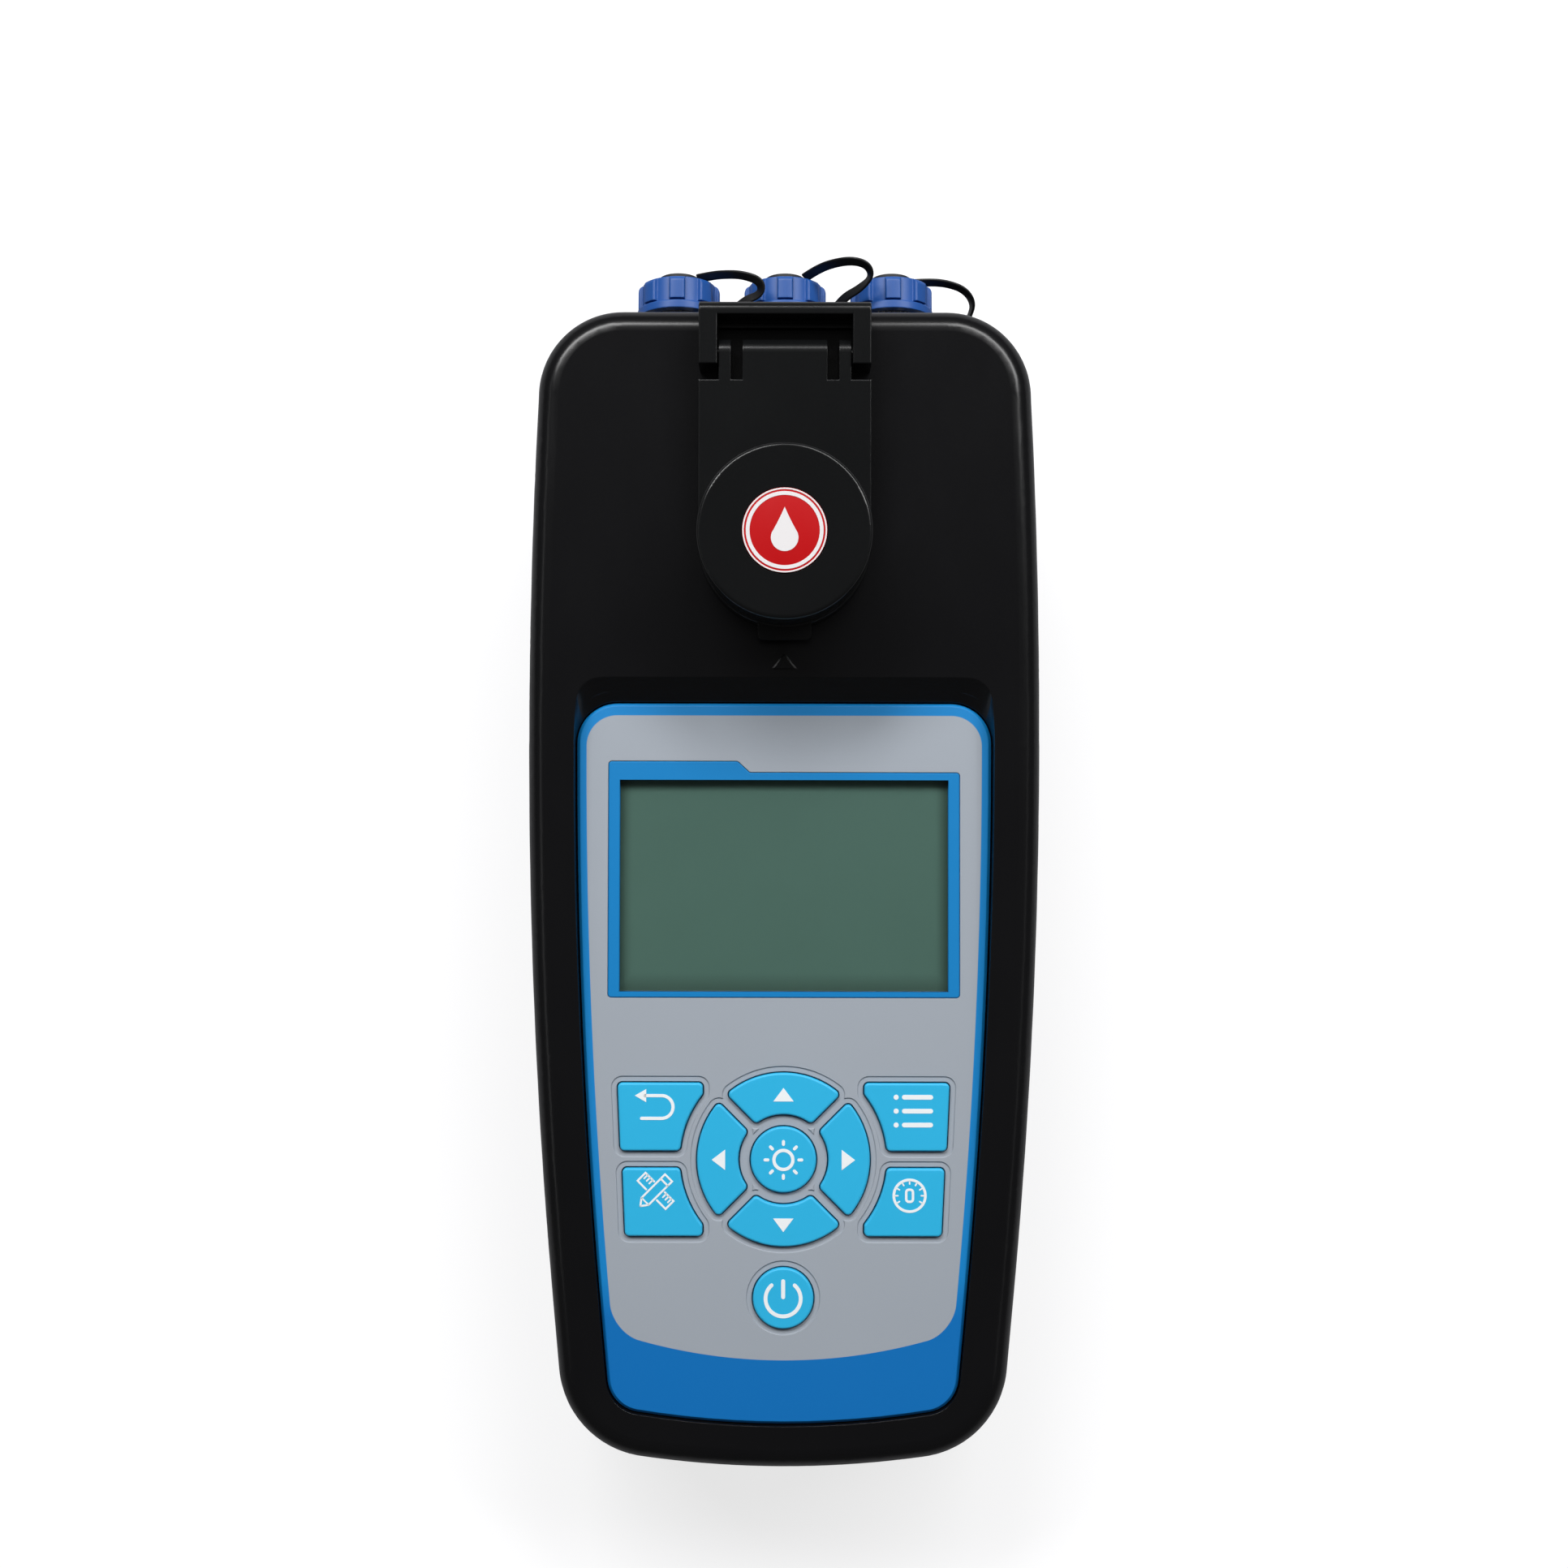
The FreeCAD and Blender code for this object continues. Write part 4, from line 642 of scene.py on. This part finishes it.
@dataclass
class Studio:
    """Camera at the photograph's angle, soft boxes and a pale floor."""

    camera_spot: Spot = (-0.03, 20.38, 371.5)
    camera_roll: float = 0.115
    lens: float = 43.54
    floor_half: float = 3.0
    boxes: tuple[SoftBox, ...] = (
        SoftBox("rear_left", -30.0, 48.0, 1.3, 0.8, 0.22, 10.0),
        SoftBox("rear_right", 38.0, 48.0, 1.3, 1.05, 0.22, 10.0),
        SoftBox("right_strip", 92.0, 38.0, 1.3, 1.3, 0.05, 0.22),
        SoftBox("left_strip", -92.0, 38.0, 1.3, 1.0, 0.05, 0.4),
        SoftBox("overhead", 0.0, 52.0, 0.65, 0.5, 0.4, 1.34, glossy=False),
    )
    sky_level: float = 0.09

    def camera(self) -> None:
        """Sets up the camera, square to the face."""
        data = bpy.data.cameras.new("camera")
        data.sensor_width = 36.0
        data.lens = self.lens
        data.clip_start = 0.01
        camera = link(bpy.data.objects.new("camera", data))
        spot = Plane.FACE.matrix() @ Matrix.Translation(Vector(self.camera_spot) * MM)
        camera.matrix_world = spot @ Matrix.Rotation(radians(self.camera_roll), 4, "Z")
        bpy.context.scene.camera = camera

    def sky(self) -> None:
        """Dim even sky, which the camera sees as white."""
        r = Recipe(bpy.data.worlds.new("sky"))
        seen = r.out(r.node("ShaderNodeLightPath"), "Is Camera Ray")
        strength = seen * (1.0 - self.sky_level) + self.sky_level
        back = r.node("ShaderNodeBackground", {}, {"Color": (1, 1, 1, 1), "Strength": strength})
        r.node("ShaderNodeOutputWorld", {}, {"Surface": r.out(back)})
        bpy.context.scene.world = r.owner

    def floor(self) -> None:
        """Lays the floor under the feet."""
        half = self.floor_half
        corners = [(-half, -half, 0), (half, -half, 0), (half, half, 0), (-half, half, 0)]
        mesh = bpy.data.meshes.new("floor")
        mesh.from_pydata(corners, [], [(0, 1, 2, 3)])
        floor = link(bpy.data.objects.new("floor", mesh))
        dress(floor, Ground().material())

    def build(self) -> None:
        """Sets up everything round the object."""
        bpy.context.scene.view_settings.view_transform = "Standard"
        self.camera()
        for box in self.boxes:
            box.build()
        self.sky()
        self.floor()


@dataclass(frozen=True)
class Strap:
    """Flat limp rubber strap from a socket's loop to its cap's eye.

    The route is in mm, with its second values behind the rear of the case, the turns are the band's tilt
    in degrees at each point of the route, and the length is in metres.
    """

    number: int
    route: tuple[Spot, ...]
    length: float
    turns: tuple[float, ...]
    rear: float = 105.2
    width: float = 2.0
    thickness: float = 0.6
    anchored: float = 5.5
    drawn: float = 14.5

    def _shape(self, name: str) -> tuple[bpy.types.Mesh, list[Vector]]:
        """Flat band along the route of the CAD tube.

        Args:
            name: name of its mesh.

        Returns:
            The mesh and the points that it follows, in metres.
        """
        data = bpy.data.curves.new(name, "CURVE")
        data.dimensions = "3D"
        data.twist_mode = "Z_UP"
        data.resolution_u = 24
        spline = data.splines.new("NURBS")
        spline.points.add(len(self.route) - 1)
        for point, (x, y, z), turn in zip(spline.points, self.route, self.turns):
            point.co = (*Vector((x, y + self.rear, z)) * MM, 1.0)
            point.tilt = radians(turn)
        spline.order_u = 3
        spline.use_endpoint_u = True
        guide = bpy.data.objects.new(name, data)
        line = bpy.data.meshes.new_from_object(guide)
        path = [vertex.co.copy() for vertex in line.vertices]
        data.extrude = (self.width - self.thickness) / 2 * MM
        data.bevel_depth = self.thickness / 2 * MM
        data.bevel_resolution = 4
        data.use_fill_caps = True
        mesh = bpy.data.meshes.new_from_object(guide)
        bpy.data.objects.remove(guide)
        bpy.data.curves.remove(data)
        bpy.data.meshes.remove(line)
        mesh.name = name
        bm = bmesh.new()
        bm.from_mesh(mesh)
        bmesh.ops.remove_doubles(bm, verts=bm.verts, dist=1e-6)
        bm.to_mesh(mesh)
        bm.free()
        return mesh, path

    def build(self, material: bpy.types.Material) -> None:
        """Builds the strap between its socket and its cap.

        Args:
            material: the strap's rubber.
        """
        name = f"strap_band_{self.number}"
        mesh, path = self._shape(name)
        band = link(bpy.data.objects.new(name, mesh))
        dress(band, material)
        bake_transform(band)
        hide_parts(f"strap_{self.number}")
        LOG.info("%s, %.1f mm", name, self.length / MM)


@dataclass
class Ink:
    """Thin raised print, drawn in mm on a plane and kept as prisms."""

    plane: Plane
    low: float
    high: float
    centre: Point = (0.0, 0.0)
    shapes: list[tuple[list[Point], list[Point] | None]] = field(default_factory=list)

    def polygon(self, points: list[Point]) -> None:
        """Adds a filled outline, which runs anticlockwise."""
        self.shapes.append((points, None))

    def band(self, outer: list[Point], inner: list[Point]) -> None:
        """Adds a closed band between two outlines of as many points."""
        self.shapes.append((outer, inner))

    def ring(self, radius: float, width: float) -> None:
        """Adds a closed ring about the centre."""
        self.band(circle(radius + width / 2), circle(radius - width / 2))

    def stroke(self, points: list[Point], width: float) -> None:
        """Adds a line with round ends.

        Args:
            points: its middle line.
            width: its width.
        """
        spots = [Vector(p) for p in points]
        half = width / 2
        ways = [(b - a).normalized() for a, b in zip(spots, spots[1:])]
        left = []
        right = []
        for i, spot in enumerate(spots):
            before = ways[max(i - 1, 0)]
            after = ways[min(i, len(ways) - 1)]
            mean = (before + after).normalized()
            out = Vector((-mean.y, mean.x)) * (half / max(0.5, mean.dot(after)))
            left.append(spot + out)
            right.append(spot - out)
        far_end = self._end(spots[-1], ways[-1], half)
        near_end = self._end(spots[0], -ways[0], half)
        self.polygon([tuple(p) for p in right + far_end + left[::-1] + near_end])

    @staticmethod
    def _end(spot: Vector, way: Vector, half: float) -> list[Vector]:
        """Points of a round end between its two corners."""
        side = Vector((-way.y, way.x))
        turns = [pi * i / 10 for i in range(1, 10)]
        return [spot + (way * sin(a) - side * cos(a)) * half for a in turns]

    def _faces(self, bm: bmesh.types.BMesh, outline: list[Point], inner: list[Point] | None) -> None:
        """Adds one prism to the mesh."""
        loops = [outline] if inner is None else [outline, inner]
        rows = []
        for loop in loops:
            for height in (self.low, self.high):
                rows.append([bm.verts.new((x + self.centre[0], y + self.centre[1], height)) for x, y in loop])
        count = len(outline)
        if inner is None:
            bm.faces.new(rows[1])
            bm.faces.new(rows[0][::-1])
        for i in range(count):
            j = (i + 1) % count
            bm.faces.new((rows[0][i], rows[0][j], rows[1][j], rows[1][i]))
            if inner is not None:
                bm.faces.new((rows[2][j], rows[2][i], rows[3][i], rows[3][j]))
                bm.faces.new((rows[1][i], rows[1][j], rows[3][j], rows[3][i]))
                bm.faces.new((rows[0][j], rows[0][i], rows[2][i], rows[2][j]))

    def build(self, name: str, body: str, slot: str, material: bpy.types.Material) -> bpy.types.Object:
        """Makes the print's mesh.

        Args:
            name: name of the piece.
            body: body that it rides on.
            slot: not used.
            material: its material.

        Returns:
            The piece.
        """
        bm = bmesh.new()
        for outline, inner in self.shapes:
            self._faces(bm, outline, inner)
        bmesh.ops.scale(bm, vec=(MM, MM, MM), verts=bm.verts)
        bm.transform(self.plane.matrix())
        bmesh.ops.recalc_face_normals(bm, faces=bm.faces)
        mesh = bpy.data.meshes.new(name)
        bm.to_mesh(mesh)
        bm.free()
        piece = link(bpy.data.objects.new(name, mesh))
        dress(piece, material)
        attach(piece, body)
        LOG.info("%s, %d shapes", name, len(self.shapes))
        return piece


def circle(radius: float, middle: Point = (0.0, 0.0), count: int = 64) -> list[Point]:
    """Points round a circle, anticlockwise."""
    turns = [2 * pi * i / count for i in range(count)]
    return [(middle[0] + radius * cos(a), middle[1] + radius * sin(a)) for a in turns]


def arc(radius: float, start: float, end: float, middle: Point = (0.0, 0.0), count: int = 24) -> list[Point]:
    """Points along an arc about its middle, with its angles in degrees."""
    turns = [radians(start + (end - start) * i / count) for i in range(count + 1)]
    return [(middle[0] + radius * cos(a), middle[1] + radius * sin(a)) for a in turns]


def turned(points: list[Point], angle: float) -> list[Point]:
    """Points turned about the origin, with the angle in degrees."""
    a = radians(angle)
    return [(x * cos(a) - y * sin(a), x * sin(a) + y * cos(a)) for x, y in points]


def rounded_box(half_x: float, half_y: float, radius: float) -> list[Point]:
    """Outline of a rectangle with round corners, anticlockwise from the right."""
    corners = []
    for start, x, y in ((0, 1, 1), (90, -1, 1), (180, -1, -1), (270, 1, -1)):
        middle = (x * (half_x - radius), y * (half_y - radius))
        corners += arc(radius, start, start + 90, middle, 6)
    return corners


@dataclass
class KeyPrints:
    """White symbols on the keys."""

    key_top: float = 0.7
    pad_y: float = -53.5
    power_y: float = -80.6
    line: float = 0.62
    arrow_tip: float = 14.1
    arrow_base: float = 11.45
    arrow_half: float = 2.0
    back_spot: Point = (-25.4, -43.2)
    menu_spot: Point = (25.9, -43.9)
    read_spot: Point = (-25.1, -59.6)
    zero_spot: Point = (24.8, -60.45)

    def _ink(self, centre: Point) -> Ink:
        """Print on top of a key."""
        return Ink(Plane.PANEL, self.key_top - INK_LIFT, self.key_top + INK_LIFT, centre)

    def arrow(self, turn: float) -> Ink:
        """Triangle on a quarter of the round pad."""
        ink = self._ink((0.0, self.pad_y))
        half, base = self.arrow_half, self.arrow_base
        ink.polygon(turned([(half, base), (0.0, self.arrow_tip), (-half, base)], turn))
        return ink

    def sun(self) -> Ink:
        """Sun with eight rays."""
        ink = self._ink((0.0, self.pad_y))
        ink.ring(1.86, 0.64)
        for i in range(8):
            a = pi * i / 4
            ink.stroke([(r * cos(a), r * sin(a)) for r in (3.05, 3.6)], 0.6)
        return ink

    def power(self) -> Ink:
        """Open ring with a bar."""
        ink = self._ink((0.0, self.power_y))
        ink.stroke(arc(3.45, 131, 409, count=48), 0.74)
        ink.stroke([(0.0, 0.3), (0.0, 3.4)], 0.78)
        return ink

    def back(self) -> Ink:
        """Arrow that turns back."""
        ink = self._ink(self.back_spot)
        ink.polygon([(-3.85, 2.25), (-1.6, 0.95), (-1.6, 3.55)])
        ink.stroke([(-1.8, 2.25)] + arc(2.23, 90, -90, (1.45, 0.02)) + [(-2.5, -2.21)], self.line)
        return ink

    def menu(self) -> Ink:
        """Three lines with dots."""
        ink = self._ink(self.menu_spot)
        for y in (2.72, 0.0, -2.72):
            ink.polygon(circle(0.5, (-3.75, y), 32))
            ink.stroke([(-2.15, y), (3.05, y)], 0.92)
        return ink

    def read(self) -> Ink:
        """Crossed pencil and ruler."""
        ink = self._ink(self.read_spot)
        thin = 0.38
        pencil = [(-4.2, 0.0), (-2.9, -0.98), (3.6, -0.98), (3.6, 0.98), (-2.9, 0.98), (-4.2, 0.0)]
        ink.stroke(turned(pencil, 45), thin)
        ink.stroke(turned([(2.4, -0.98), (2.4, 0.98)], 45), thin)
        ink.stroke(turned([(-2.9, -0.98), (-2.9, 0.98)], 45), thin * 0.8)
        for side in (1, -1):
            half = [(1.5 * side, 1.1), (3.9 * side, 1.1), (3.9 * side, -1.1), (1.5 * side, -1.1)]
            ink.stroke(turned(half, -45), thin)
            for x in (1.9, 2.6, 3.3):
                ink.stroke(turned([(x * side, 1.1), (x * side, 0.15)], -45), thin * 0.85)
        return ink

    def zero(self) -> Ink:
        """Dial with ticks and a nought."""
        ink = self._ink(self.zero_spot)
        ink.ring(3.1, 0.52)
        for angle in (-30, 0, 30, 60, 90, 120, 150, 180, 210):
            a = radians(angle)
            ink.stroke([(r * cos(a), r * sin(a)) for r in (2.3, 2.8)], 0.3)
        ink.band(rounded_box(0.9, 1.42, 0.75), rounded_box(0.42, 0.94, 0.3))
        return ink

    def build(self, material: bpy.types.Material) -> None:
        """Prints every key.

        Args:
            material: the white ink.
        """
        prints = {
            "up": self.arrow(0),
            "left": self.arrow(90),
            "down": self.arrow(180),
            "right": self.arrow(270),
            "center": self.sun(),
            "back": self.back(),
            "menu": self.menu(),
            "read": self.read(),
            "zero": self.zero(),
            "power": self.power(),
        }
        for key, ink in prints.items():
            ink.build(f"print_{key}", f"key_{key}", "key_cyan", material)


@dataclass
class Badge:
    """Round badge on the knob: red with white rings and a white water drop."""

    knob_y: float = 67.3
    knob_top: float = 21.0
    radius: float = 7.9
    sink: float = 0.35
    proud: float = 0.2
    edge: float = 0.06
    rings: tuple[Point, ...] = ((7.7, 0.28), (6.85, 0.7))
    drop_tip: float = 4.3
    drop_middle: float = -1.35
    drop_radius: float = 2.55

    def disc(self, name: str, material: bpy.types.Material) -> bpy.types.Object:
        """Turns the badge's body with a soft edge."""
        bm = bmesh.new()
        low, high = -self.sink, self.proud
        profile = [(0.0, low), (self.radius, low), (self.radius, high - self.edge)]
        for i in range(1, 5):
            a = pi / 2 * i / 4
            profile.append((self.radius - self.edge * (1 - cos(a)), high - self.edge * (1 - sin(a))))
        profile.append((0.0, high))
        verts = [bm.verts.new((x, 0.0, z)) for x, z in profile]
        edges = [bm.edges.new(pair) for pair in zip(verts, verts[1:])]
        bmesh.ops.spin(bm, geom=verts + edges, axis=(0, 0, 1), cent=(0, 0, 0), steps=96, angle=2 * pi)
        bmesh.ops.remove_doubles(bm, verts=bm.verts, dist=1e-4)
        bmesh.ops.recalc_face_normals(bm, faces=bm.faces)
        for face in bm.faces:
            face.smooth = True
        bmesh.ops.scale(bm, vec=(MM, MM, MM), verts=bm.verts)
        bm.transform(Plane.FACE.matrix() @ Matrix.Translation(Vector((0, self.knob_y, self.knob_top)) * MM))
        mesh = bpy.data.meshes.new(name)
        bm.to_mesh(mesh)
        bm.free()
        piece = link(bpy.data.objects.new(name, mesh))
        dress(piece, material)
        return piece

    def build(self, red: bpy.types.Material, white: bpy.types.Material) -> None:
        """Builds the badge.

        Args:
            red: finish of its body.
            white: finish of its rings and drop.
        """
        body = self.disc("badge_body", red)
        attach(body, "cover")
        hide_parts("cover_badge")
        top = self.knob_top + self.proud
        ink = Ink(Plane.FACE, top - INK_LIFT, top + INK_LIFT, (0.0, self.knob_y))
        for radius, width in self.rings:
            ink.ring(radius, width)
        bulge = arc(self.drop_radius, -200, 20, (0.0, self.drop_middle), 32)
        left, right = self._shoulder(bulge[0]), self._shoulder(bulge[-1])
        ink.polygon([(0.0, self.drop_tip)] + left + bulge + right[::-1])
        ink.build("badge_print", "cover", "badge_red", white)

    def _shoulder(self, foot: Point) -> list[Point]:
        """Curved side of the drop between its tip and its bulge, down to its foot there."""
        tip = self.drop_tip
        bend = (foot[0] * 0.475, foot[1] + (tip - foot[1]) * 0.45)
        steps = [i / 8 for i in range(1, 8)]
        return [
            (
                2 * t * (1 - t) * bend[0] + t * t * foot[0],
                (1 - t) ** 2 * tip + 2 * t * (1 - t) * bend[1] + t * t * foot[1],
            )
            for t in steps
        ]


STRAPS = (
    Strap(1, (
        (-14.9, 4.3, 31.3), (-12.2, 6.4, 34.4), (-8.6, 9.0, 38.0), (-5.0, 9.8, 39.6), (-5.0, 12.0, 41.3),
        (-8.8, 13.6, 40.6), (-12.6, 14.5, 38.4), (-15.8, 15.2, 35.6), (-18.3, 15.5, 33.2),
    ), 0.0333, (90, 90, 80, 60, 45, 35, 35, 35, 45)),
    Strap(2, (
        (7.7, 4.3, 31.3), (9.5, 6.9, 33.6), (12.0, 9.9, 36.9), (15.6, 10.9, 40.3), (17.8, 12.5, 42.3),
        (17.0, 14.4, 44.2), (13.8, 15.5, 43.9), (9.6, 15.8, 41.2), (6.4, 15.8, 37.4), (4.2, 15.6, 33.7),
    ), 0.0375, (90, 90, 85, 70, 30, 28, 35, 38, 40, 45)),
    Strap(3, (
        (28.3, 4.2, 24.2), (30.9, 4.4, 21.7), (34.4, 5.3, 21.3), (37.6, 7.2, 23.3), (39.5, 9.4, 26.6),
        (40.0, 11.5, 30.0), (38.0, 13.6, 32.0), (34.3, 14.9, 32.2), (30.4, 15.5, 31.4), (27.0, 15.5, 30.6),
    ), 0.0345, (90, 90, 80, 60, 25, 18, 22, 25, 30, 35)),
)


def matches(name: str, pattern: str) -> bool:
    """Whether a node's name is the pattern, or starts with what stands before its star."""
    return name == pattern or (pattern.endswith("*") and name.startswith(pattern[:-1]))


def dress_nodes(nodes: dict[str, bpy.types.Object]) -> None:
    """Gives every CAD node its finish.

    Args:
        nodes: the CAD nodes by name.
    """
    for finish, patterns in DRESSED:
        material = finish.material()
        dressed = [name for name in nodes if any(matches(name, pattern) for pattern in patterns)]
        for name in dressed:
            dress(nodes[name], material)
        LOG.info("%s: %s", finish.name, ", ".join(sorted(dressed)))


def main() -> None:
    """Builds the scene in order."""
    logging.basicConfig(level=logging.INFO, format="%(name)s: %(message)s")
    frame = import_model()
    Studio().build()
    rubber = STRAP_RUBBER.material()
    for strap in STRAPS:
        strap.build(rubber)
    dress_nodes(frame["nodes"])
    KeyPrints().build(WHITE_INK.material())
    Badge().build(BADGE_RED.material(), BADGE_WHITE.material())


if __name__ == "__main__":
    main()
